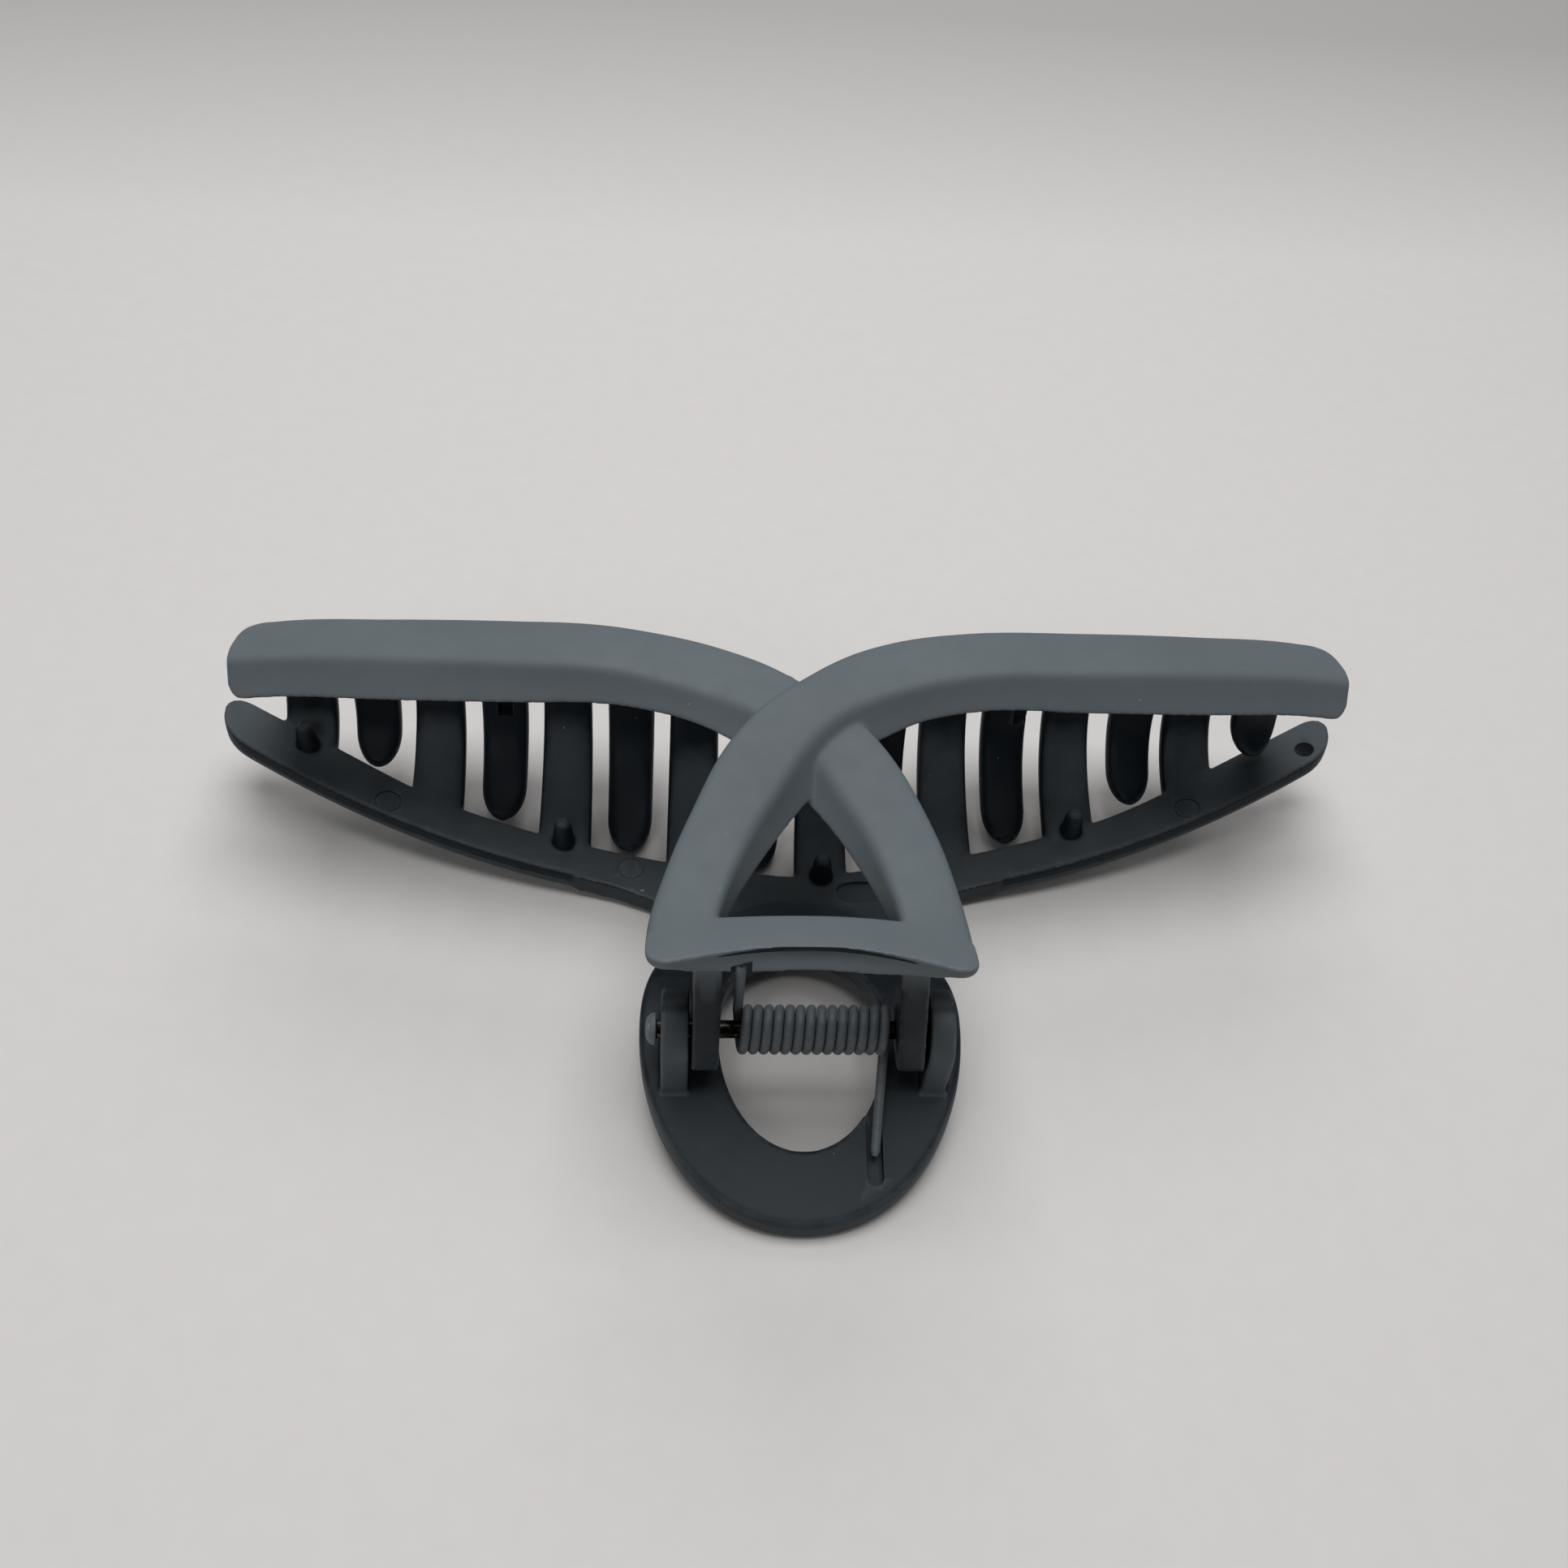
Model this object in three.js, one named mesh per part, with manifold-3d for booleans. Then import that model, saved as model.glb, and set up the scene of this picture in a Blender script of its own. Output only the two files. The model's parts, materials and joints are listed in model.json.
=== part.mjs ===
// Hair claw clip: two toothed jaws on one headed pin, pushed shut by a torsion spring.
// Millimetres. X runs along the hinge, Y points from the finger ring to the claws, Z is up.
// The clip lies on its lower jaw, closed.
import * as THREE from 'three';
import { mergeVertices } from 'three/addons/utils/BufferGeometryUtils.js';
import Module from 'manifold-3d';

const wasm = await Module();
wasm.setup();

// Hinge
const HINGE_HEIGHT = 12.4;
const LUG_RADIUS = 3.9;
const INNER_LUG = [8.85, 11.4];
const OUTER_LUG = [11.8, 14.1];
const BORE_RADIUS = 1.15;

// Pin
const PIN_RADIUS = 0.875;
const PIN_END = 13.9;
const HEAD_RADIUS = 1.55;
const HEAD_START = -14.85;
const HEAD_LENGTH = 1.05;

// Spring
const WIRE_RADIUS = 0.48;
const COIL_RADIUS = 1.93;
const COIL_START = -6.6;
const COIL_END = 8.1;
const COIL_TURNS = 14;
const UPPER_LEG_END = [-6.7, -3.3, 28.2];
const LOWER_LEG_END = [7.1, -9.1, 4.55];
const SPRING_STEPS = 236;
const WIRE_SIDES = 8;

// Upper jaw
const BAR_HALF_LENGTH = 58.2;
const BAR_THICKNESS = 3.6;
const BAR_BOW = 0.0017;
const THUMB_HEIGHT = 29;
const CREST_LIFT = 4.8;
const NOTCH = { x: -6.7, width: 1.9, back: -1.7, roof: 28.95 };

// Lower jaw
const PLATE_THICKNESS = 2.7;
const RING_TIP = -16;
const RING_SLOPE = Math.tan(THREE.MathUtils.degToRad(15));
const RING_HALF_WIDTH = 16;
const RING_HALF_LENGTH = 16.8;
const RING_HOLE = { halfWidth: 8.15, halfLength: 10.7, centre: 2.1 };
const CRESCENT_HALF_LENGTH = 62.5;
const CRESCENT_RISE = 8.6;
const TIP_RADIUS = 3;
const TIP_FLARE = { extra: 1.2, from: 35, to: 55 };
const HANG_HOLE = { x: 59.8, y: 38.7, radius: 1.0 };
const GROOVE = { x: 7.1, width: 1.7, from: -12.1, to: -2.4, depth: 1.2 };

// Teeth, eight on each jaw, half a pitch apart
const TOOTH_COUNT = 8;
const TOOTH_PITCH = 14.4;
const TOOTH_OFFSET = 3.6;
const TOOTH_ROOT_WIDTH = 5.4;
const TOOTH_TIP_WIDTH = 4.6;
const TOOTH_THICKNESS = 2.2;
const CAGE_DEPTH = { centre: 39.6, side: 44.6 };
const TIP_GAP = 0.6;
const PEG = { radius: 1.25, height: 3.4, every: 2 };

const EPSILON = 0.01;
const v2 = (x, y) => new THREE.Vector2(x, y);
const smoothstep = THREE.MathUtils.smoothstep;

// ---------------------------------------------------------------- solids

function solidOf(geometry) {
  const bare = geometry.clone();
  bare.deleteAttribute('normal');
  bare.deleteAttribute('uv');
  const merged = mergeVertices(bare, 1e-5);
  return new wasm.Manifold(new wasm.Mesh({
    numProp: 3,
    vertProperties: new Float32Array(merged.attributes.position.array),
    triVerts: new Uint32Array(merged.index.array),
  }));
}

function geometryOf(solid) {
  const mesh = solid.getMesh();
  const geometry = new THREE.BufferGeometry();
  geometry.setAttribute('position', new THREE.BufferAttribute(mesh.vertProperties, 3));
  geometry.setIndex(new THREE.BufferAttribute(mesh.triVerts, 1));
  geometry.computeVertexNormals();
  return geometry;
}

const joined = (solids) => solids.reduce((sum, solid) => sum.add(solid));

function prism(shape, depth, curveSegments) {
  return new THREE.ExtrudeGeometry(shape, { depth, curveSegments, bevelEnabled: false });
}

// An outline in X and Y, standing between two heights
function standing(shape, low, high, curveSegments = 10) {
  return solidOf(prism(shape, high - low, curveSegments).translate(0, 0, low));
}

// An outline in Y and Z, running along X
function alongX(shape, from, to, curveSegments = 16) {
  const turn = new THREE.Matrix4().makeBasis(
    new THREE.Vector3(0, 1, 0), new THREE.Vector3(0, 0, 1), new THREE.Vector3(1, 0, 0));
  return solidOf(prism(shape, to - from, curveSegments).applyMatrix4(turn).translate(from, 0, 0));
}

// An outline in X and Z, running along Y
function alongY(shape, from, to, curveSegments = 8) {
  const turn = new THREE.Matrix4().makeBasis(
    new THREE.Vector3(1, 0, 0), new THREE.Vector3(0, 0, 1), new THREE.Vector3(0, -1, 0));
  return solidOf(prism(shape, to - from, curveSegments).applyMatrix4(turn).translate(0, to, 0));
}

// A block whose top and bottom follow two height functions of x and y
function slab(top, bottom, halfLength, near, far, columns, rows) {
  const block = new THREE.BoxGeometry(2 * halfLength, far - near, 1, columns, rows, 1);
  block.translate(0, (near + far) / 2, 0);
  const position = block.attributes.position;
  for (let i = 0; i < position.count; i += 1) {
    const height = position.getZ(i) > 0 ? top : bottom;
    position.setZ(i, height(position.getX(i), position.getY(i)));
  }
  return solidOf(block);
}

function mirrored(points) {
  return points.map((point) => v2(-point.x, point.y)).reverse();
}

function outline(points) {
  const shape = new THREE.Shape();
  shape.moveTo(points[0].x, points[0].y);
  points.slice(1).forEach((point) => shape.lineTo(point.x, point.y));
  shape.closePath();
  return shape;
}

const curved = (points, divisions) => new THREE.SplineCurve(points).getPoints(divisions);

// ---------------------------------------------------------------- surfaces

// Top of the upper jaw: flared at the thumb bar, low over the thumb frame, high at the crossing,
// and bowed down toward both ends
function upperTop(x, y) {
  const flare = 0.12 * Math.max(0, 3 - y) ** 1.5;
  const crest = CREST_LIFT * smoothstep(y, 3, 26);
  const fall = 0.01 * Math.max(0, y - 27) ** 2;
  return THUMB_HEIGHT + flare + crest - fall - BAR_BOW * x * x;
}

const upperUnder = (x, y) => upperTop(x, y) - BAR_THICKNESS;

// Top of the lower jaw: the finger ring climbs from its tip, and the neck falls to the crescent,
// which curls up toward both ends
function lowerTop(x, y) {
  const ring = PLATE_THICKNESS + RING_SLOPE * (y - RING_TIP);
  const neck = smoothstep(y, 3, 20);
  const reach = Math.abs(x) / CRESCENT_HALF_LENGTH;
  const curl = CRESCENT_RISE * reach ** 2.2 * smoothstep(y, 6, 20);
  return THREE.MathUtils.lerp(ring, PLATE_THICKNESS, neck) + curl;
}

const lowerUnder = (x, y) => lowerTop(x, y) - PLATE_THICKNESS;

// Edges of the crescent and of the bars, seen from above
const crescentFar = (x) => 26.2 + 0.08 * Math.abs(x) + 0.003 * x * x
  + TIP_FLARE.extra * smoothstep(Math.abs(x), TIP_FLARE.from, TIP_FLARE.to);
const crescentNear = (x) => 22.6 + 0.004 * x * x;

function barFar(x) {
  const towardCrossing = Math.max(0, 1 - Math.abs(x) / 14);
  return 32.5 + 0.13 * Math.abs(x) - 5.2 * towardCrossing ** 2;
}

// How far back the teeth bulge: less at the middle, where the bars dip at their crossing
function cageDepth(x) {
  const outward = smoothstep(Math.abs(x), 0, 20);
  return THREE.MathUtils.lerp(CAGE_DEPTH.centre, CAGE_DEPTH.side, outward);
}

// ---------------------------------------------------------------- teeth

const toothPlaces = (shift) => Array.from({ length: TOOTH_COUNT },
  (_, i) => (i - (TOOTH_COUNT - 1) / 2) * TOOTH_PITCH + shift);

// The side view of one tooth: a band along an oval arc from the crescent round to the bar
function toothBand(depth, start, end) {
  const reach = (8 * depth - start.x - end.x) / 6;
  const height = end.y - start.y;
  const spine = new THREE.CubicBezierCurve(start, v2(reach, start.y + 0.1 * height),
    v2(reach, end.y - 0.25 * height), end);
  const steps = 12;
  const sides = [[], []];
  for (let i = 0; i <= steps; i += 1) {
    const point = spine.getPoint(i / steps);
    const along = spine.getTangent(i / steps);
    const across = v2(along.y, -along.x).multiplyScalar(TOOTH_THICKNESS / 2);
    sides[0].push(point.clone().add(across));
    sides[1].push(point.clone().sub(across));
  }
  return outline([...sides[0], ...sides[1].reverse()]);
}

// The front view of one tooth: tapered, with a half-round tip
function toothFace(x, root, tip) {
  const side = Math.sign(tip - root);
  const shoulder = tip - side * TOOTH_TIP_WIDTH * 0.55;
  const half = TOOTH_TIP_WIDTH / 2;
  const shape = new THREE.Shape();
  shape.moveTo(x - TOOTH_ROOT_WIDTH / 2, root);
  shape.lineTo(x - half, shoulder);
  shape.quadraticCurveTo(x - half, tip, x, tip);
  shape.quadraticCurveTo(x + half, tip, x + half, shoulder);
  shape.lineTo(x + TOOTH_ROOT_WIDTH / 2, root);
  shape.closePath();
  return shape;
}

function tooth(x, start, end, root, tip) {
  const half = TOOTH_ROOT_WIDTH / 2 + EPSILON;
  const band = alongX(toothBand(cageDepth(x), start, end), x - half, x + half);
  return band.intersect(alongY(toothFace(x, root, tip), 0, CAGE_DEPTH.side + 10));
}

function lowerTooth(x) {
  const start = v2(crescentFar(x) - 1.2, lowerTop(x, crescentFar(x)) - 1.6);
  const tipHeight = upperUnder(x, barFar(x)) - TIP_GAP;
  const end = v2(barFar(x) - 1.2, tipHeight + 0.5);
  return tooth(x, start, end, start.y - 1, tipHeight);
}

function upperTooth(x) {
  const start = v2(crescentFar(x) + TIP_GAP + TOOTH_THICKNESS / 2, lowerTop(x, crescentFar(x)) - 1.6);
  const end = v2(barFar(x) - 1.6, upperTop(x, barFar(x)) - 1.9);
  return tooth(x, start, end, end.y + 0.8, start.y);
}

// A small cone that stands on the crescent against the root of a lower tooth
function peg(x) {
  const cone = new THREE.CylinderGeometry(PEG.radius * 0.4, PEG.radius, PEG.height, 10);
  cone.rotateX(Math.PI / 2);
  const y = crescentFar(x) - 2.2;
  return solidOf(cone.translate(x, y, lowerTop(x, y) + PEG.height / 2 - 0.5));
}

// ---------------------------------------------------------------- hinge parts

function bore() {
  const drill = new THREE.CylinderGeometry(BORE_RADIUS, BORE_RADIUS, 40, 20);
  return solidOf(drill.rotateZ(Math.PI / 2).translate(0, 0, HINGE_HEIGHT));
}

// A lug outline: half-round about the hinge, with straight flanks to the two feet
function lugShape(frontFoot, backFoot, roundEndUp) {
  const shape = new THREE.Shape();
  shape.moveTo(frontFoot.x, frontFoot.y);
  shape.lineTo(-LUG_RADIUS, HINGE_HEIGHT);
  shape.absarc(0, HINGE_HEIGHT, LUG_RADIUS, Math.PI, 0, roundEndUp);
  shape.lineTo(backFoot.x, backFoot.y);
  shape.closePath();
  return shape;
}

function lugPair(shape, [from, to]) {
  return alongX(shape, from, to).add(alongX(shape, -to, -from));
}

// ---------------------------------------------------------------- upper jaw

// One ribbon: from the far end of a bar, over the crossing, down one arm of the thumb frame
function ribbonShape() {
  const farEdge = [v2(55.2, 39.7), v2(42, 38), v2(29, 36.2), v2(17, 34.8), v2(9, 32.7), v2(0, 27.3),
    v2(-5.2, 22.7), v2(-8.7, 18), v2(-11.3, 12.5), v2(-13.2, 7.2), v2(-14.4, 1), v2(-14.5, -2.8)];
  const nearEdge = [v2(-7.6, 1.2), v2(-6.5, 5.2), v2(-4.6, 9), v2(0, 15.6), v2(4, 19.5), v2(7.7, 21.9), v2(13, 24.6),
    v2(18, 25.9), v2(28.5, 26.9), v2(41, 28.5), v2(56.4, 31)];
  const barEnd = [v2(BAR_HALF_LENGTH - 0.2, 32.4), v2(BAR_HALF_LENGTH, 35.5), v2(57.3, 38.4)];
  return outline([...curved(farEdge, 34), v2(-14, -4.8), v2(-12.2, -5), v2(-8, -4.2), v2(-7.8, -1),
    ...curved(nearEdge, 26), ...barEnd]);
}

// The thumb bar that closes the frame: bowed in at its front edge
function thumbBarShape() {
  const front = curved([v2(-12, -5), v2(-8, -4.2), v2(0, -3.4), v2(8, -4.2), v2(12, -5)], 14);
  return outline([...front, v2(12, 1), v2(7.6, 1), v2(0, 1.5), v2(-7.6, 1), v2(-12, 1)]);
}

function mirroredShape(shape) {
  return outline(mirrored(shape.getPoints()));
}

function upperJaw() {
  const ribbon = ribbonShape();
  const plan = joined([ribbon, mirroredShape(ribbon), thumbBarShape()]
    .map((shape) => standing(shape, 10, 45)));
  const surface = slab(upperTop, upperUnder, BAR_HALF_LENGTH + 2, -8, 42, 30, 20);
  const lugs = lugPair(lugShape(v2(-3.4, 28), v2(3.9, 27), false), INNER_LUG);
  const teeth = toothPlaces(TOOTH_OFFSET).map(upperTooth);
  const notch = new THREE.BoxGeometry(NOTCH.width, 6, 6);
  notch.translate(NOTCH.x, NOTCH.back - 3, NOTCH.roof - 3);
  return joined([plan.intersect(surface), lugs, ...teeth])
    .subtract(bore())
    .subtract(solidOf(notch));
}

// ---------------------------------------------------------------- lower jaw

function crescentShape() {
  const inset = CRESCENT_HALF_LENGTH - TIP_RADIUS;
  const stations = Array.from({ length: 21 }, (_, i) => (i / 10 - 1) * inset);
  const far = stations.map((x) => v2(x, crescentFar(x)));
  const near = stations.map((x) => v2(x, crescentNear(x))).reverse();
  const middle = (crescentFar(inset) + crescentNear(inset)) / 2;
  const tip = [v2(inset + TIP_RADIUS * 0.75, middle + 1.9), v2(CRESCENT_HALF_LENGTH, middle),
    v2(inset + TIP_RADIUS * 0.75, middle - 1.9)];
  return outline([...far, ...tip, ...near, ...mirrored(tip)]);
}

// The neck between the finger ring and the crescent, flared where it meets the crescent
function neckShape() {
  const flank = curved([v2(14.5, 6), v2(12.6, 12), v2(12.4, 17), v2(14.5, 20.5), v2(19, 23.2)], 10);
  return outline([...flank, ...mirrored(flank)]);
}

function ringShape() {
  const shape = new THREE.Shape();
  shape.absellipse(0, RING_TIP + RING_HALF_LENGTH, RING_HALF_WIDTH, RING_HALF_LENGTH,
    0, 2 * Math.PI);
  return shape;
}

function ringHole() {
  const shape = new THREE.Shape();
  shape.absellipse(0, RING_HOLE.centre, RING_HOLE.halfWidth, RING_HOLE.halfLength, 0, 2 * Math.PI);
  return standing(shape, -5, 20, 16);
}

// The channel in the finger ring that holds the lower leg of the spring
function groove() {
  const half = GROOVE.width / 2;
  const shape = new THREE.Shape();
  shape.moveTo(GROOVE.x + half, GROOVE.to);
  shape.lineTo(GROOVE.x - half, GROOVE.to);
  shape.lineTo(GROOVE.x - half, GROOVE.from + half);
  shape.absarc(GROOVE.x, GROOVE.from + half, half, Math.PI, 2 * Math.PI, false);
  shape.closePath();
  const floor = (x, y) => lowerTop(x, y) - GROOVE.depth;
  const lid = (x, y) => lowerTop(x, y) + 2;
  return standing(shape, -5, 20, 6).intersect(slab(lid, floor, 20, -16, 2, 1, 12));
}

function hangHole() {
  const drill = new THREE.CylinderGeometry(HANG_HOLE.radius, HANG_HOLE.radius, 40, 16);
  return solidOf(drill.rotateX(Math.PI / 2).translate(HANG_HOLE.x, HANG_HOLE.y, 0));
}

function lowerJaw() {
  const plan = joined([standing(crescentShape(), -5, 40), standing(neckShape(), -5, 40),
    standing(ringShape(), -5, 40, 24)]);
  const surface = slab(lowerTop, lowerUnder, CRESCENT_HALF_LENGTH + 2, -20, 46, 30, 33);
  const plate = plan.intersect(surface).subtract(ringHole()).subtract(groove()).subtract(hangHole());
  const lugs = lugPair(lugShape(v2(-4.2, 4.6), v2(4.8, 6.6), true), OUTER_LUG);
  const places = toothPlaces(-TOOTH_OFFSET);
  const pegs = places.filter((_, i) => i % PEG.every === 0).map(peg);
  return joined([plate, lugs, ...places.map(lowerTooth), ...pegs]).subtract(bore());
}

// ---------------------------------------------------------------- pin and spring

function pinGeometry() {
  const crown = 0.45;
  const profile = [v2(0, HEAD_START - HEAD_LENGTH), v2(HEAD_RADIUS * 0.6, HEAD_START - HEAD_LENGTH + 0.1),
    v2(HEAD_RADIUS, HEAD_START - HEAD_LENGTH + crown), v2(HEAD_RADIUS, HEAD_START),
    v2(PIN_RADIUS, HEAD_START), v2(PIN_RADIUS, PIN_END - 0.2), v2(PIN_RADIUS - 0.2, PIN_END),
    v2(0, PIN_END)];
  const turned = new THREE.LatheGeometry(profile, 20).rotateZ(-Math.PI / 2);
  return geometryOf(solidOf(turned.translate(0, 0, HINGE_HEIGHT)));
}

// Upper leg, close-wound coil about the hinge, lower leg; each leg leaves the coil at a tangent
class SpringCurve extends THREE.Curve {
  constructor() {
    super();
    this.arcLengthDivisions = 4000;
    this.startAngle = SpringCurve.tangentAngle(UPPER_LEG_END, 1);
    this.endAngle = SpringCurve.tangentAngle(LOWER_LEG_END, -1) - 2 * Math.PI * (COIL_TURNS + 1);
    this.upperLength = this.coil(0).distanceTo(new THREE.Vector3(...UPPER_LEG_END));
    this.lowerLength = this.coil(1).distanceTo(new THREE.Vector3(...LOWER_LEG_END));
    this.coilLength = COIL_RADIUS * (this.startAngle - this.endAngle);
  }

  // Angle on the coil, about the hinge from +Y toward +Z, where a straight leg leaves for its end
  static tangentAngle([, y, z], sense) {
    const rise = z - HINGE_HEIGHT;
    const angle = Math.atan2(rise, y) - sense * Math.acos(COIL_RADIUS / Math.hypot(y, rise));
    return angle < 0 ? angle + 2 * Math.PI : angle;
  }

  coil(share) {
    const angle = THREE.MathUtils.lerp(this.startAngle, this.endAngle, share);
    return new THREE.Vector3(THREE.MathUtils.lerp(COIL_START, COIL_END, share),
      COIL_RADIUS * Math.cos(angle), HINGE_HEIGHT + COIL_RADIUS * Math.sin(angle));
  }

  getPoint(share, target = new THREE.Vector3()) {
    const whole = this.upperLength + this.coilLength + this.lowerLength;
    const run = share * whole;
    if (run < this.upperLength) {
      return target.set(...UPPER_LEG_END).lerp(this.coil(0), run / this.upperLength);
    }
    const past = run - this.upperLength - this.coilLength;
    if (past > 0) {
      return target.copy(this.coil(1))
        .lerp(new THREE.Vector3(...LOWER_LEG_END), past / this.lowerLength);
    }
    return target.copy(this.coil((run - this.upperLength) / this.coilLength));
  }
}

function springGeometry() {
  const section = new THREE.Shape();
  section.absarc(0, 0, WIRE_RADIUS, 0, 2 * Math.PI);
  const wire = new THREE.ExtrudeGeometry(section, {
    extrudePath: new SpringCurve(), steps: SPRING_STEPS, curveSegments: WIRE_SIDES / 2,
  });
  return geometryOf(solidOf(wire));
}

// ---------------------------------------------------------------- assembly

const paint = (color, roughness, metalness) => new THREE.MeshStandardMaterial({
  color, roughness, metalness });

function part(name, geometry, material) {
  const mesh = new THREE.Mesh(geometry, material);
  mesh.name = name;
  return mesh;
}

const clip = new THREE.Group();
clip.add(
  part('lower_jaw', geometryOf(lowerJaw()), paint('#4d565a', 0.6, 0)),
  part('upper_jaw', geometryOf(upperJaw()), paint('#5d676b', 0.6, 0)),
  part('hinge_pin', pinGeometry(), paint('#8b8f91', 0.35, 1)),
  part('torsion_spring', springGeometry(), paint('#5a6468', 0.5, 0)),
);

// Origin at the centre of the clip's footprint, on the surface that it lies on
const box = new THREE.Box3().setFromObject(clip);
clip.position.set(-(box.min.x + box.max.x) / 2, -(box.min.y + box.max.y) / 2, -box.min.z);

export default clip;
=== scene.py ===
"""Hair claw clip: the finished surfaces and finishes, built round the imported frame.

Lengths are millimetres in clip coordinates until place() turns them into the frame's metres:
x runs along the hinge, y is 0 at the hinge and grows toward the claws, z is 0 on the table.
"""
import json

import bpy
import numpy as np
from mathutils import Matrix


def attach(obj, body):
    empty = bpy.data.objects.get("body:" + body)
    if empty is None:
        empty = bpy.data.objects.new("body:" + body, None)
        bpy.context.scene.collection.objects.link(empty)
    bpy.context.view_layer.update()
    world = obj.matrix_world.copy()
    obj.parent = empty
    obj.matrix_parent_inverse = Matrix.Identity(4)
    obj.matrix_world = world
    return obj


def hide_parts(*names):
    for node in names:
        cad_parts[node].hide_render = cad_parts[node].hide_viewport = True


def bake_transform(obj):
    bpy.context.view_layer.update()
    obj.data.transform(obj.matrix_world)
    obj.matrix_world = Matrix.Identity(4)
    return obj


bl_info = {
    "name": "Claw clip",
    "version": (1, 0, 0),
    "blender": (4, 5, 0),
    "location": "3D View > Sidebar > Claw clip",
    "description": "Builds the moulded jaws, pin and spring of a hair claw clip",
    "category": "Object",
}

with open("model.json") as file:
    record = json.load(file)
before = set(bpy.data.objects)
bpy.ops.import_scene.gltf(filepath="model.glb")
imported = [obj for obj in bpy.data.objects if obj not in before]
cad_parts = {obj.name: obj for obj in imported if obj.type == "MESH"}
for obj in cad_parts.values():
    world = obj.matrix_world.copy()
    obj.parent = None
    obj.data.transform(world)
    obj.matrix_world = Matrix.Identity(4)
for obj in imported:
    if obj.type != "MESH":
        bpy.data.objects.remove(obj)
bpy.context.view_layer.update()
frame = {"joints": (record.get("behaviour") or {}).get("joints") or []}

MM = 0.001
HINGE = np.array(frame["joints"][0]["pos_m"]) / MM
HINGE_HEIGHT = HINGE[2]
SHIFT = np.array([0.0, HINGE[1], 0.0])
LOWER = "lower"
UPPER = "upper"

# Upper jaw; a bow and a skew are multiplied by x squared
BAR_THICKNESS = 3.5
BAR_BACK = 32.5
BAR_BOW = 0.0017
BAR_DIP = 5.2
BAR_DIP_HALF = 14
THUMB_HEIGHT = 29.0
THUMB_HALF = 14.5
THUMB_CORNER = 2.7
THUMB_SWAY = -0.6
THUMB_SKEW = 0.004
CREST_LIFT = 4.8
CROSSING_DROP = 1.3
LEG_NOTCH = ((-7.65, -8, 24), (-5.75, -1.7, 29.0))

# Lower jaw
PLATE = 2.7
RING_TIP = -16.0
RING_SLOPE = np.tan(np.radians(15))
RING_CENTRE = (0.2, 3.4)
RING_HALF = (16.2, 19.2)
RING_ROUNDNESS = 2.05
HOLE_CENTRE = (0.25, 2.6)
HOLE_HALF = (8.35, 11.3)
CRESCENT_HALF = 63.3
CRESCENT_NEAR = 22.6
CRESCENT_FAR = 26.2
CRESCENT_RISE = 8.6
TIP_LENGTH = 3.2
TIP_FLARE = 1.6
TIP_TILT = 0.25
HANG_HOLE = (60.1, 39.5)
HANG_HOLE_RADIUS = 1.05
EJECTOR_MARKS = ((-44.6, 32.7), (-17.6, 26.4), (45.8, 33.2))
EJECTOR_RADIUS = 1.25
PEG_HEIGHT = 3.9
PEG_RADII = (1.35, 1.3, 1.25, 1.2, 1.15, 1.1, 1.05, 0.97, 0.82, 0.45)

# Teeth: a short tip, depth and shift are those of the last upper tooth to the right
TOOTH_PITCH = 14.4
TOOTH_OFFSET = 3.6
TOOTH_X = (np.arange(8) - 3.5) * TOOTH_PITCH
CAGE_CENTRE = 37.0
CAGE_SIDE = 44.6
CAGE_MIDDLE = 17.0
SHORT_TIP = np.array([38.4, 10.4])
SHORT_DEPTH = 42.0
SHORT_SHIFT = 1.3
POCKETS = ((-32.3, 11.7), (27.1, 11.7))

# Hinge parts
LUG_RADIUS = 3.9
LUG_LEAN = -0.09
INNER_LUGS = ((-10.8, -8.25), (8.9, 11.5))
INNER_FEET = ((-3.3, 28.2), (3.7, 27))
OUTER_LUGS = ((-13.75, -11.1), (11.85, 14.3))
OUTER_FEET = ((-3.3, 4.8), (4.8, 6.6))
BORE_RADIUS = 1.05
BORE_HALF = 16
PIN_RADIUS = 0.875
PIN_END = 13.9
HEAD_BACK = -14.2
COIL_RADIUS = 1.93
COIL_X = (-6.4, 8.15)
COIL_TURNS = 14
UPPER_LEG_END = np.array([-6.7, -3.3, 28.3])
LOWER_LEG_END = np.array([7.1, -9.3, 4.5])

# The most triangles that a moulding keeps before its bores and marks are cut
MOST_TRIANGLES = 180000


# ------------------------------ numbers and curves

def place(points):
    """Clip coordinates in millimetres, moved to the frame's origin and turned into metres."""
    return (np.asarray(points, float) + SHIFT) * MM


def linear(code):
    """An sRGB hex colour as linear red, green and blue."""
    value = np.array([int(code[i:i + 2], 16) for i in (1, 3, 5)]) / 255
    return tuple(np.where(value <= 0.04045, value / 12.92, ((value + 0.055) / 1.055) ** 2.4))


def smoothstep(value, low, high):
    """0 below low, 1 above high, and 3t^2 - 2t^3 of the share between them."""
    t = np.clip((value - low) / (high - low), 0, 1)
    return t * t * (3 - 2 * t)


def mix(a, b, share):
    """The value a share of the way from a to b: a + (b - a) * share."""
    return a + (b - a) * share


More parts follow.
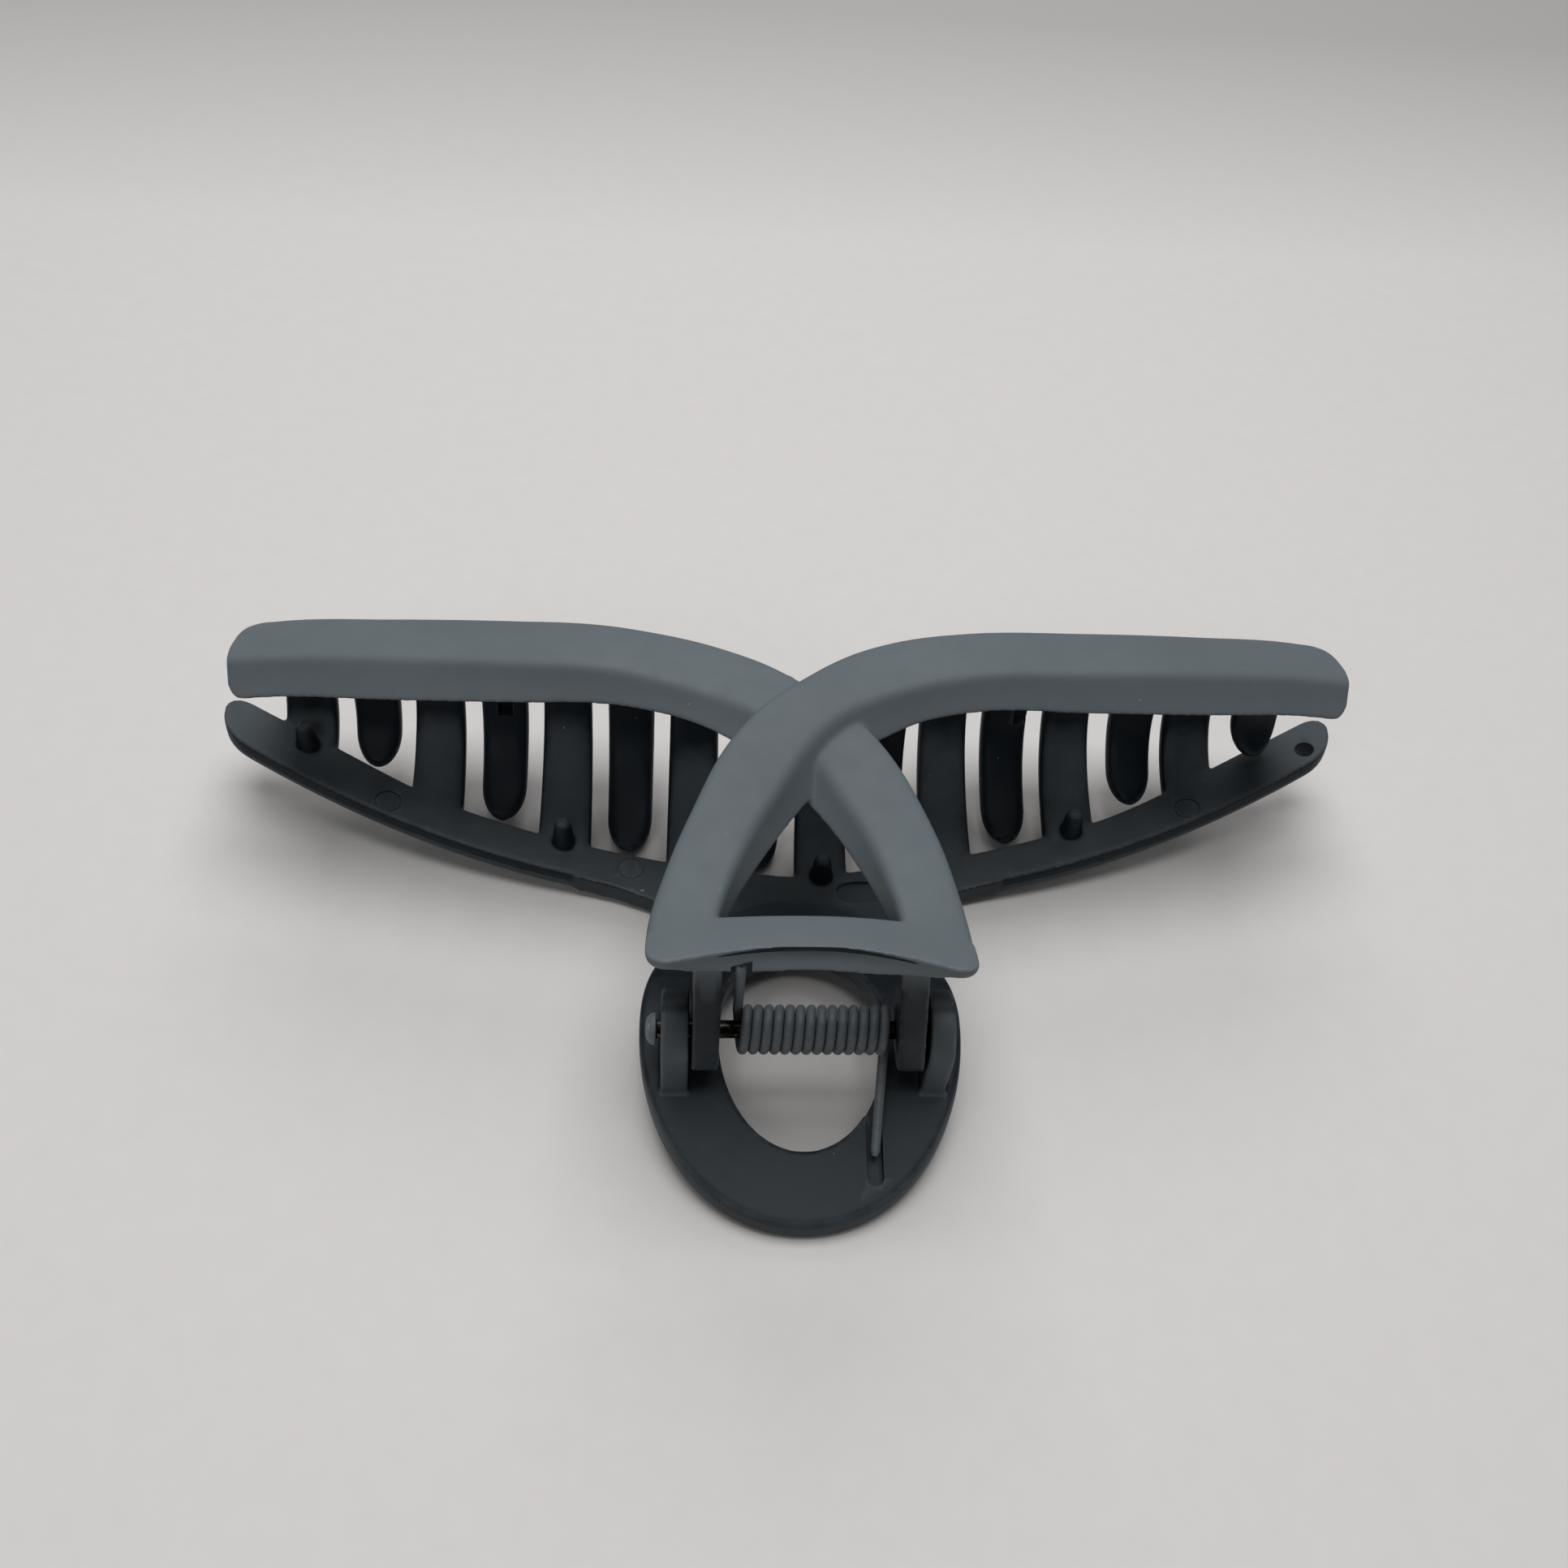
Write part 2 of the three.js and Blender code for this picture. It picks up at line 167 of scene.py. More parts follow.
def through(stations, count):
    """A smooth curve through rows of numbers: cubic Hermite pieces between the rows, with each
    row's slope from its neighbours, at count places evenly spaced along the rows' own length."""
    rows = np.asarray(stations, float)
    steps = np.linalg.norm(np.diff(rows, axis=0), axis=1)
    knots = np.concatenate([[0], np.cumsum(steps)])
    slopes = np.gradient(rows, knots, axis=0)
    u = np.linspace(0, knots[-1], count)
    i = np.clip(np.searchsorted(knots, u, side="right") - 1, 0, len(rows) - 2)
    width = (knots[i + 1] - knots[i])[:, None]
    t = (u - knots[i])[:, None] / width
    return ((2 * t**3 - 3 * t**2 + 1) * rows[i] + (t**3 - 2 * t**2 + t) * width * slopes[i]
            + (3 * t**2 - 2 * t**3) * rows[i + 1] + (t**3 - t**2) * width * slopes[i + 1])


def power(value, exponent):
    """A power that keeps its sign, for rounded-square sections."""
    return np.sign(value) * np.abs(value) ** exponent


def unit(vectors):
    """Vectors made one long: each is divided by its own length."""
    return vectors / np.linalg.norm(vectors, axis=-1, keepdims=True)


def circle(sides):
    """The cosines and the sines of a full turn's angles, at even steps."""
    turn = np.linspace(0, 2 * np.pi, sides, endpoint=False)
    return np.cos(turn), np.sin(turn)


def rings_from(x, y, z):
    """Rings of points, rings x sides x 3, from coordinates that are each spread over the rings
    or the sides where they don't change."""
    return np.stack(np.broadcast_arrays(x, y, z), -1)


# ------------------------------ surfaces of the two jaws

def upper_top(x, y):
    """Height of the upper jaw's outer face: flared at the thumb bar, low over the thumb frame,
    high where the bars cross, and bowed down toward both ends."""
    flare = 0.12 * np.maximum(0, 3 - y) ** 1.5
    crest = CREST_LIFT * smoothstep(y, 3, 26)
    fall = 0.01 * np.maximum(0, y - 27) ** 2
    return THUMB_HEIGHT + flare + crest - fall - BAR_BOW * x * x


def lower_top(x, y):
    """Height of the lower jaw's inner face: the ring climbs from its tip at a steady slope, the
    neck falls to the crescent, and the crescent curls up toward both ends."""
    ring = PLATE + RING_SLOPE * (y - RING_TIP)
    reach = np.abs(x) / CRESCENT_HALF
    curl = CRESCENT_RISE * reach**2.2 * smoothstep(y, 6, 20)
    return mix(ring, PLATE, smoothstep(y, 3, 20)) + curl


def crescent_far(x):
    """The crescent's far edge: a parabola with a slight V in it, which flares near the tips."""
    flare = TIP_FLARE * smoothstep(np.abs(x), 35, 55)
    return CRESCENT_FAR + 0.08 * np.abs(x) + 0.003 * x * x + flare


def crescent_near(x):
    """The crescent's near edge: a shallow parabola."""
    return CRESCENT_NEAR + 0.004 * x * x


def bar_far(x):
    """The bars' far edge: a shallow V, which a parabola draws in where the two bars cross."""
    dip = BAR_DIP * np.maximum(0, 1 - np.abs(x) / BAR_DIP_HALF) ** 2
    return BAR_BACK + 0.13 * np.abs(x) - dip


def cage_depth(x):
    """How far back the teeth bulge: less at the middle, where the bars dip at their crossing."""
    return mix(CAGE_CENTRE, CAGE_SIDE, smoothstep(np.abs(x), 0, 20))


# ------------------------------ closed solids

def wound(rings, around=False):
    """A closed solid from rings of points, an array of rings x sides x 3. Neighbouring rings are
    joined by quads; the first and last are closed by fans, or joined when around is true. The
    faces are turned over where the volume, a sum of a . (b x c), comes out negative. A solid is
    its points, all its faces' corners in one row, and the number of corners of each face."""
    count, sides, _ = rings.shape
    r = np.arange(count if around else count - 1)[:, None]
    s = np.arange(sides)[None, :]
    quads = np.stack([r * sides + s, r * sides + (s + 1) % sides,
                      (r + 1) % count * sides + (s + 1) % sides,
                      (r + 1) % count * sides + s], -1).reshape(-1, 4)
    points = rings.reshape(-1, 3)
    fans = []
    if not around:
        edge = np.arange(sides)
        first = np.stack([np.roll(edge, -1), edge, np.full(sides, len(points))], 1)
        last = np.stack([edge, np.roll(edge, -1), np.full(sides, len(points) + 1)], 1)
        last[:, :2] += (count - 1) * sides
        points = np.vstack([points, rings[0].mean(0), rings[-1].mean(0)])
        fans = [first, last]
    a, b, c = points[np.vstack([quads[:, [0, 1, 2]], quads[:, [0, 2, 3]], *fans]).T]
    way = 1 if np.einsum("ij,ij->i", a, np.cross(b, c)).sum() >= 0 else -1
    faces = [part[:, ::way] for part in (quads, *fans)]
    counts = [np.full(len(part), part.shape[1]) for part in faces]
    return points, np.concatenate([part.ravel() for part in faces]), np.concatenate(counts)


def rounded(corners, radii, steps=4):
    """Rounds a section's corners: each becomes a quadratic curve that starts and ends its radius
    away along its two edges, or just under half an edge where that is shorter. The corners are
    an array of rings x corners x 3."""
    def along(edge):
        length = np.maximum(np.linalg.norm(edge, axis=2, keepdims=True), 1e-6)
        return corners + edge * np.minimum(np.asarray(radii)[None, :, None] / length, 0.48)

    t = np.linspace(0, 1, steps)[None, None, :, None]
    start = along(np.roll(corners, 1, axis=1) - corners)[:, :, None]
    end = along(np.roll(corners, -1, axis=1) - corners)[:, :, None]
    curve = (1 - t) ** 2 * start + 2 * t * (1 - t) * corners[:, :, None] + t**2 * end
    return curve.reshape(len(corners), -1, 3)


def together(solids):
    """Several closed solids as one: their points and faces in a row, with each solid's corners
    numbered on from the points before it."""
    points, corners, counts = zip(*solids)
    starts = np.cumsum([0] + [len(own) for own in points[:-1]])
    numbered = [own + start for own, start in zip(corners, starts)]
    return np.vstack(points), np.concatenate(numbered), np.concatenate(counts)


def added(name, data):
    """A new object that holds the data, put into the scene."""
    obj = bpy.data.objects.new(name, data)
    bpy.context.scene.collection.objects.link(obj)
    return obj


def object_of(name, solid):
    """A new object whose mesh is a closed solid."""
    points, corners, counts = solid
    mesh = bpy.data.meshes.new(name)
    mesh.vertices.add(len(points))
    mesh.vertices.foreach_set("co", place(points).astype(np.float32).ravel())
    mesh.loops.add(len(corners))
    mesh.loops.foreach_set("vertex_index", corners.astype(np.int32))
    mesh.polygons.add(len(counts))
    mesh.polygons.foreach_set("loop_start", (np.cumsum(counts) - counts).astype(np.int32))
    mesh.update(calc_edges=True)
    return added(name, mesh)


def lug(outline, span, lean=0.0):
    """A flat outline in y and z, given a thickness along x; lean moves it along x by a share of
    its height above the hinge."""
    y, z = outline.T
    return wound(rings_from(np.array(span)[:, None] + lean * (z - HINGE_HEIGHT), y, z))


def rod(start, end, radii, sides=24):
    """A round bar from start to end, with its radius at even steps between them. Its spokes are
    the cosine and sine shares of two directions square to it."""
    start, end = np.asarray(start, float), np.asarray(end, float)
    off_axis = [0.3, 0.9, 0.2]
    axis = unit(end - start)
    side = unit(np.cross(axis, off_axis))
    cos, sin = circle(sides)
    spoke = cos[:, None] * side + sin[:, None] * np.cross(axis, side)
    share = np.linspace(0, 1, len(radii))[:, None, None]
    return wound(mix(start, end, share) + np.asarray(radii)[:, None, None] * spoke)


def block(low, high):
    """A box with its corners at low and high."""
    low, high = np.asarray(low, float), np.asarray(high, float)
    square = np.array([(0, 0), (1, 0), (1, 1), (0, 1)])
    x, y = (low[:2] + square * (high - low)[:2]).T
    return wound(rings_from(x, y, np.array([[low[2]], [high[2]]])))


# ------------------------------ moulding

def applied(obj):
    """The object, with its modifiers made part of its mesh."""
    graph = bpy.context.evaluated_depsgraph_get()
    mesh = bpy.data.meshes.new_from_object(obj.evaluated_get(graph))
    obj.modifiers.clear()
    old, obj.data = obj.data, mesh
    bpy.data.meshes.remove(old)
    return obj


def moulded(name, solids, voxel, softness):
    """Fuses overlapping solids into one skin on a fine grid, then relaxes it, so that inside
    corners become fillets and outside edges become small rounds, and thins out its flats."""
    obj = object_of(name, together(solids))
    fuse = obj.modifiers.new("Fuse", "REMESH")
    fuse.mode = "VOXEL"
    fuse.voxel_size = voxel
    relax = obj.modifiers.new("Relax", "SMOOTH")
    relax.factor = 0.5
    relax.iterations = softness
    applied(obj)
    thin = obj.modifiers.new("Thin", "DECIMATE")
    thin.ratio = min(1.0, MOST_TRIANGLES / (2 * len(obj.data.polygons)))
    return applied(obj)


def cut(obj, solids):
    """Takes closed solids away from the moulding."""
    cutter = object_of(obj.name + "_cutter", together(solids))
    take = obj.modifiers.new("Cut", "BOOLEAN")
    take.operation = "DIFFERENCE"
    take.solver = "MANIFOLD"
    take.object = cutter
    applied(obj)
    mesh = cutter.data
    bpy.data.objects.remove(cutter)
    bpy.data.meshes.remove(mesh)
    return obj


def shade(obj, sharp_over=50):
    """Smooth shading, with a crease only where two faces meet at more than the given angle."""
    mesh = obj.data
    mesh.polygons.foreach_set("use_smooth", np.ones(len(mesh.polygons), bool))
    mesh.set_sharp_from_angle(angle=np.radians(sharp_over))
    return obj


def edge_turn(mesh, points, normals):
    """How sharply the skin turns outward at each point, 0 to 1: twice the point's height over the
    mean of its neighbours, divided by their mean squared distance, in turns per millimetre."""
    ends = np.empty(len(mesh.edges) * 2, np.int32)
    mesh.edges.foreach_get("vertices", ends)
    first, second = ends.reshape(-1, 2).T
    gap = points[second] - points[first]
    square = (gap**2).sum(1)

    def gathered(from_first, from_second):
        return (np.bincount(first, from_first, len(points))
                + np.bincount(second, from_second, len(points)))

    rise = gathered((gap * normals[first]).sum(1), (-gap * normals[second]).sum(1))
    reach = gathered(square, square)
    return smoothstep(-2 * rise / np.maximum(reach, 1e-9), 0.35, 1.6)


def spray(obj, axis, reach, drift_and_top_light):
    """Stores two shares for each point. Paint follows how far the skin faces away from a line
    inside the cage, because the clip was sprayed from outside: the line stands at a y that axis
    gives for each point. Reach gives distances from the hinge and how much of the paint share is
    kept there; its low shares are painted shade on the lugs under the thumb bar. Drift and top
    light lifts the paint share on upward faces, over the hinge and over the crescent: partly fine
    overspray, partly painted light on lit tops. Edge is how sharply the skin turns; the material
    makes the colour lighter there."""
    mesh = obj.data
    points = np.empty(len(mesh.vertices) * 3, np.float32)
    normals = np.empty(len(mesh.vertices) * 3, np.float32)
    mesh.vertices.foreach_get("co", points)
    mesh.vertex_normals.foreach_get("vector", normals)
    points = points.reshape(-1, 3) / MM - SHIFT
    normals = normals.reshape(-1, 3)
    x, y, z = points.T
    outward = unit(np.stack([y - axis(x, y), z - CAGE_MIDDLE], 1))
    facing = smoothstep((normals[:, 1:] * outward).sum(1), -0.15, 0.3)
    # Painted shade: low shares near the hinge darken the lugs under the thumb bar
    reach_with_painted_shade = np.interp(np.hypot(y, z - HINGE_HEIGHT), *reach)
    # Painted light on upward faces, together with fine overspray
    settled_and_top_light = mix(*drift_and_top_light, smoothstep(y, 12, 24)) * smoothstep(normals[:, 2], 0.3, 0.8)
    # The paint share holds the two-tone coat, with this painted shade and painted light in it
    shares = {"paint": np.maximum(facing * reach_with_painted_shade, settled_and_top_light),
              "edge": edge_turn(mesh, points, normals)}
    for name, share in shares.items():
        layer = mesh.attributes.new(name, "FLOAT", "POINT")
        layer.data.foreach_set("value", share.astype(np.float32))
    return obj


# ------------------------------ shapes: upper jaw

# Each row is one place along a ribbon, from the thumb corner up the arm, over the crossing and
# out along the bar: x and y of its outer edge, of the crease, and of the bevel's lower edge
RIBBON = [
    (-14.45, -2.2, -8.7, -2.0, -7.9, -1.8),
    (-14.5, -0.8, -8.6, -0.8, -7.8, -0.6),
    (-14.3, 2.4, -8.2, 1.9, -7.5, 2.3),
    (-13.2, 7.2, -7.4, 5.2, -6.3, 5.8),
    (-11.3, 12.5, -5.3, 10.6, -3.2, 11.0),
    (-8.7, 18.0, -3.1, 14.4, -1.1, 13.8),
    (-5.2, 22.7, -0.6, 18.4, 1.6, 16.8),
    (0.0, 27.3, 3.0, 22.2, 4.6, 19.8),
    (4.6, 30.6, 7.0, 24.4, 8.2, 22.3),
    (9.0, 32.7, 10.8, 26.0, 11.4, 24.0),
    (17.0, 34.9, 18.0, 28.1, 18.3, 26.0),
    (29.0, 36.5, 28.6, 29.4, 28.7, 27.0),
    (42.0, 38.4, 42.0, 31.4, 42.0, 28.7),
    (54.3, 40.3, 54.3, 33.3, 54.3, 30.8),
    (56.3, 40.3, 56.3, 33.5, 56.3, 30.95),
    (57.6, 39.5, 57.5, 33.6, 57.5, 31.05),
    (58.1, 38.1, 58.0, 33.7, 58.0, 31.15),
    (58.25, 36.4, 58.2, 33.75, 58.2, 31.2),
]


def sway(x, y):
    """The thumb frame stands a little to the left of the bars' middle, and its right corner
    reaches a little further forward."""
    share = 1 - smoothstep(y, -3, 15)
    return x + THUMB_SWAY * share, y - THUMB_SKEW * share * np.maximum(0, x) ** 2


def ribbon(mirror, drop):
    """One bar and arm: a section of crowned face, hollow bevel, flat underside and far wall,
    carried along the ribbon's three edge curves. It thins toward the thumb corner, its bevel
    deepens along the bar, and drop lowers it where it passes under the other ribbon."""
    rows = through(RIBBON, 260)
    far, crease, foot = rows[:, 0:2], rows[:, 2:4], rows[:, 4:6]
    sunk = drop * smoothstep(far[:, 1], 3, 20) * (1 - smoothstep(far[:, 0], 4, 26))
    thick = BAR_THICKNESS * mix(0.42, 1.0, smoothstep(foot[:, 1], -2.5, 2.0))
    deep = thick + 0.45 * smoothstep(far[:, 0], 10, 40)
    if mirror:
        far, crease, foot = (edge * [-1, 1] for edge in (far, crease, foot))

    def lifted(edge, lower):
        return np.column_stack([*sway(*edge.T), upper_top(*edge.T) - lower])

    face, fold = lifted(far, sunk), lifted(crease, sunk)
    toe, heel = lifted(foot, 0.4 * sunk + deep), lifted(far, sunk + thick)
    # Over the bar's last stretch its bevel closes along a quarter circle
    last_from, last_long = 56.8, 1.45
    past = np.clip((np.abs(foot[:, :1]) - last_from) / last_long, 0, 1)
    toe = mix(toe, fold, 0.45 * (1 - np.sqrt(1 - past**2)))
    crown = (face + fold) / 2 + [0, 0, 0.22]
    hollow = (fold + toe) / 2 - [0, 0, 0.22]
    rings = rounded(np.stack([face, crown, fold, hollow, toe, heel], 1),
                    (1.0, 3.0, 0.8, 1.6, 0.6, 0.6), 6)
    middle = rings[-1].mean(0)
    ahead = unit(middle - rings[-3].mean(0))
    cap = [middle + (rings[-1] - middle) * share + ahead * step
           for share, step in ((0.96, 0.15), (0.88, 0.28))]
    return wound(np.concatenate([rings, cap]))


def thumb_corner(x):
    """How far the round corners take the thumb bar's edges in from where they would be."""
    past = np.clip(np.abs(x) - (THUMB_HALF - THUMB_CORNER), 0, THUMB_CORNER)
    return THUMB_CORNER - np.sqrt(THUMB_CORNER**2 - past**2)


def thumb_lip(x):
    """The lip of the thumb bar's face, seen from above: it bows, and its corners are round."""
    return -3.2 - 1.9 * (x / 12) ** 2 + thumb_corner(x)


def thumb_bar():
    """The bar that closes the thumb frame: a lipped face, a hollow front and a straight back,
    carried along x. Its front is tall at the middle and low at the ends."""
    x = THUMB_HALF * np.sin(np.linspace(-np.pi / 2, np.pi / 2, 121))
    bow = (x / 12) ** 2
    lip = thumb_lip(x)
    toe = mix(-3.85 - 1.5 * bow, lip + 0.25, smoothstep(np.abs(x), 10.5, 12.5))
    back = 1.55 - 0.6 * bow - 0.8 * thumb_corner(x)
    toe_height = mix(28.0, 29.7, smoothstep(np.abs(x), 4, 13))
    lip_height = upper_top(x, lip)
    wall = lip_height - toe_height
    hollow = 0.8 * (1 - smoothstep(np.abs(x), 2, 11))
    middle = mix(lip, back, 0.5)
    section = [
        (lip, lip_height - 0.1), (middle, upper_top(x, middle) + 0.12), (back, upper_top(x, back)),
        (back + 0.2, upper_top(x, back) - BAR_THICKNESS), (toe + 1.2, toe_height - 0.5),
        (toe, toe_height), (lip + 0.6 * hollow, toe_height + 0.42 * wall),
        (lip + hollow, lip_height - 0.28 * wall),
    ]
    corners = np.stack([np.stack([*sway(x, y), z], -1) for y, z in section], 1)
    return wound(rounded(corners, (0.3, 2.0, 0.4, 0.5, 0.6, 0.35, 0.5, 0.25), 4))


def lip_groove():
    """The crisp undercut below the thumb bar's lip: an oval section carried along x, deepest at
    the middle and run out at both ends."""
    x = np.linspace(-9.5, 10.8, 90)[:, None]
    fade = np.sqrt(np.clip(1 - np.abs((x - 0.65) / 10.15) ** 3, 0.003, 1))
    lip = thumb_lip(x)
    deeper = 1 - smoothstep(np.abs(x), 3, 9)
    cos, sin = circle(12)
    y = lip + 0.55 + 0.4 * deeper + 0.75 * fade * cos
    z = upper_top(x, lip) - 0.75 - 0.33 * deeper + 0.3 * fade * sin
    return wound(rings_from(*sway(x, y), z))


def lug_outline(front_foot, back_foot, round_up):
    """A lug from the side: half-round about the hinge, with straight flanks to its two feet."""
    sweep = np.linspace(np.pi, 0, 25) if round_up else np.linspace(np.pi, 2 * np.pi, 25)
    arc = np.stack([LUG_RADIUS * np.cos(sweep), HINGE_HEIGHT + LUG_RADIUS * np.sin(sweep)], 1)
    return np.vstack([[front_foot], arc, [back_foot]])


def tooth(x, depth, start, end, width, thick, blunt, drop):
    """One tooth from root to tip: a rounded-rectangle section carried along a cubic curve in the
    y-z plane that bulges back to its depth, tapered by width and thick, with an oval tip whose
    length is blunt tooth widths. Drop gives the heights of the curve's two middle knots."""
    reach = (8 * depth - start[0] - end[0]) / 6
    rise = end[1] - start[1]
    knots = np.array([start, (reach, start[1] + drop[0] * rise), (reach, start[1] + drop[1] * rise),
                      end])
    t = np.linspace(0, 1, 60)[:, None]
    spine = ((1 - t) ** 3 * knots[0] + 3 * t * (1 - t) ** 2 * knots[1]
             + 3 * t**2 * (1 - t) * knots[2] + t**3 * knots[3])
    run = np.concatenate([[0], np.cumsum(np.linalg.norm(np.diff(spine, axis=0), axis=1))])
    even = np.linspace(0, run[-1], len(t))
    spine = np.stack([np.interp(even, run, spine[:, k]) for k in (0, 1)], 1)
    ahead = unit(np.gradient(spine, axis=0))
    across = np.stack([ahead[:, 1], -ahead[:, 0]], 1)
    left = (even[-1] - even) / (blunt * width[1])
    tip = np.sqrt(np.clip(1 - (1 - np.clip(left, 0, 1)) ** 2, 0.02, 1))
    share = even / even[-1]
    half_width = mix(width[0], width[1], share) / 2 * tip
    half_thick = mix(thick[0], thick[1], share) / 2 * np.sqrt(tip)
    cos, sin = circle(28)
    out = half_thick[:, None] * power(sin, 0.7)
    return wound(rings_from(x + half_width[:, None] * power(cos, 0.55),
                            spine[:, :1] + across[:, :1] * out,
                            spine[:, 1:] + across[:, 1:] * out))


def upper_tooth(x):
    """An upper tooth, from inside a bar round to the back of the crescent. The last one to the
    right is short: its tip stops over the crescent."""
    short = smoothstep(x, 48, 54)
    root = (bar_far(x) - 2.0, upper_top(x, bar_far(x)) - 3.0)
    tip = np.array([crescent_far(x) + 1.6, lower_top(x, crescent_far(x)) - 1.9])
    return tooth(x - SHORT_SHIFT * short, mix(cage_depth(x), SHORT_DEPTH, short), root,
                 mix(tip, SHORT_TIP, short), width=(5.7, 5.0), thick=(2.7, 2.1), blunt=0.85,
                 drop=(0.36, 0.9))


def lower_tooth(x):
    """A lower tooth, from inside the crescent round to the underside of the bars."""
    root = (crescent_far(x) - 1.3, lower_top(x, crescent_far(x)) - 1.3)
    tip = (bar_far(x) - 1.0, upper_top(x, bar_far(x)) - BAR_THICKNESS - 0.5)
    return tooth(x, cage_depth(x), root, tip, width=(6.0, 4.9), thick=(2.8, 2.1), blunt=0.6,
                 drop=(0.1, 0.75))


def hinge_bore():
    """The cutter for the pin's bore: a round bar along the hinge, past the outer lugs."""
    return rod((-BORE_HALF, 0, HINGE_HEIGHT), (BORE_HALF, 0, HINGE_HEIGHT), [BORE_RADIUS] * 2, 40)


# ------------------------------ shapes: lower jaw

def finger_ring():
    """The ring: a flat band between an oval hole and a rounder outer edge (a superellipse),
    as a section of top, outer wall, underside and inner wall carried once round."""
    turn = np.stack(circle(260), 1)
    outer = np.array(RING_CENTRE) + RING_HALF * power(turn, 2 / RING_ROUNDNESS)
    inner = np.array(HOLE_CENTRE) + HOLE_HALF * turn
    section = [(inner, 0), (outer, 0), (outer, PLATE), (inner, PLATE)]
    corners = np.stack([np.column_stack([plan, lower_top(*plan.T) - sunk])
                        for plan, sunk in section], 1)
    return wound(rounded(corners, (0.45, 0.7, 0.7, 0.45), 5), around=True)


def crescent():
    """The bow that carries the lower teeth: a flat top that tilts toward its tips, a near wall
    that leans out, and blunt round tips, as a section carried along x between the near and far
    edge curves."""
    x = CRESCENT_HALF * np.sin(np.linspace(-np.pi / 2, np.pi / 2, 301))
    past = np.clip((np.abs(x) - (CRESCENT_HALF - TIP_LENGTH)) / TIP_LENGTH, 0, 0.998)
    near, far = crescent_near(x), crescent_far(x)
    middle = (near + far) / 2
    half = (far - near) / 2 * (1 - past**2.4) ** (1 / 2.2)
    top = lower_top(x, middle)
    tilt = TIP_TILT * smoothstep(np.abs(x), 30, 56)
    section = [(-0.86, 0), (0.96, 1), (1, 1), (0.9, 0), (-0.8, 0), (-1, 0)]
    sunk = [0, 0, PLATE, PLATE, PLATE, PLATE - 0.8]
    corners = np.stack([np.stack([x, middle + half * side, top + tilt * up - low], -1)
                        for (side, up), low in zip(section, sunk)], 1)
    return wound(rounded(corners, (0.5, 0.35, 0.4, 0.5, 0.4, 0.4), 4))


def neck():
    """The neck between ring and crescent: a flat strap whose half-width is least at the waist
    and flares into the crescent."""
    rows = through([(14.8, 12.8), (18, 12.0), (21, 13.4), (23.4, 18), (25, 24)], 40)
    side = np.concatenate([np.linspace(-1, 1, 15), np.linspace(1, -1, 15)])
    sunk = np.repeat([0, PLATE], 15)
    y, half = rows[:, :1], rows[:, 1:]
    x = half * side
    return wound(rings_from(x, y, lower_top(x, y) - sunk))


def peg(x):
    """A stub with a round nose that stands against the root of a lower tooth, and further back
    along the crescent's middle than near its tips."""
    y = crescent_far(x) - 2.1 + 1.3 * (1 - smoothstep(np.abs(x), 35, 50))
    base = lower_top(x, y) - 0.4
    return rod((x, y, base), (x, y + 0.5, base + PEG_HEIGHT), PEG_RADII)


def well(plan, under, over):
    """A cutter with upright walls on an outline seen from above, from under the lower jaw's
    face to over it, both measured from the face's own height."""
    top = lower_top(*plan.T)
    return wound(np.stack([np.column_stack([plan, top - under]),
                           np.column_stack([plan, top + over])]))


def slot(x, y_from, y_to, half, depth):
    """The cutter for a slot along y in the lower jaw's face: half circles at both ends."""
    turn = np.linspace(0, np.pi, 14)
    south = np.stack([x - half * np.cos(turn), y_from - half * np.sin(turn)], 1)
    north = np.stack([x + half * np.cos(turn), y_to + half * np.sin(turn)], 1)
    return well(np.vstack([south, north]), depth, 3)


def recess(x, y, half_long, half_wide, depth):
    """The cutter for a shallow recess along x in the lower jaw's face: a superellipse."""
    cos, sin = circle(36)
    plan = np.stack([x + half_long * power(cos, 0.6), y + half_wide * power(sin, 0.8)], 1)
    return well(plan, depth, 2)


def ejector_mark(x, y):
    """The cutter for the ring that an ejector pin left in the moulding: a shallow groove, as a
    narrow section that follows the lower jaw's face once round."""
    reach = EJECTOR_RADIUS + np.array([0, 0.22, 0.22, 0])
    lift = np.array([-0.14, -0.14, 0.5, 0.5])
    cos, sin = circle(40)
    across = x + reach * cos[:, None]
    back = y + reach * sin[:, None]
    return wound(rings_from(across, back, lower_top(across, back) + 0.08 + lift), around=True)


def parting_line():
    """The fine raised line where the mould halves met, along the crescent's near wall: a small
    half-buried bead carried along the wall's middle height."""
    x = np.linspace(-CRESCENT_HALF + 3.6, CRESCENT_HALF - 3.6, 260)[:, None]
    near, far = crescent_near(x), crescent_far(x)
    middle, half = (near + far) / 2, (far - near) / 2
    cos, sin = circle(10)
    y = middle - half * 0.93 + 0.16 * cos
    z = lower_top(x, middle) - PLATE * 0.52 + 0.13 * sin
    return wound(rings_from(x, y, z))


# ------------------------------ shapes: pin and spring

def pin_solid():
    """The rivet pin: a domed head, a plain shank and a slightly rounded end, turned about x."""
    profile = np.array([
        (HEAD_BACK - 1.05, 0.25), (HEAD_BACK - 1.02, 0.7), (HEAD_BACK - 0.9, 1.08),
        (HEAD_BACK - 0.68, 1.36), (HEAD_BACK - 0.4, 1.53), (HEAD_BACK - 0.1, 1.53),
        (HEAD_BACK, 1.42), (HEAD_BACK + 0.01, PIN_RADIUS + 0.08), (HEAD_BACK + 0.1, PIN_RADIUS),
        (PIN_END - 0.25, PIN_RADIUS), (PIN_END - 0.06, PIN_RADIUS - 0.12), (PIN_END, 0.55)])
    x, radius = profile[:, :1], profile[:, 1:]
    cos, sin = circle(48)
    return wound(rings_from(x, radius * cos, HINGE_HEIGHT + radius * sin))


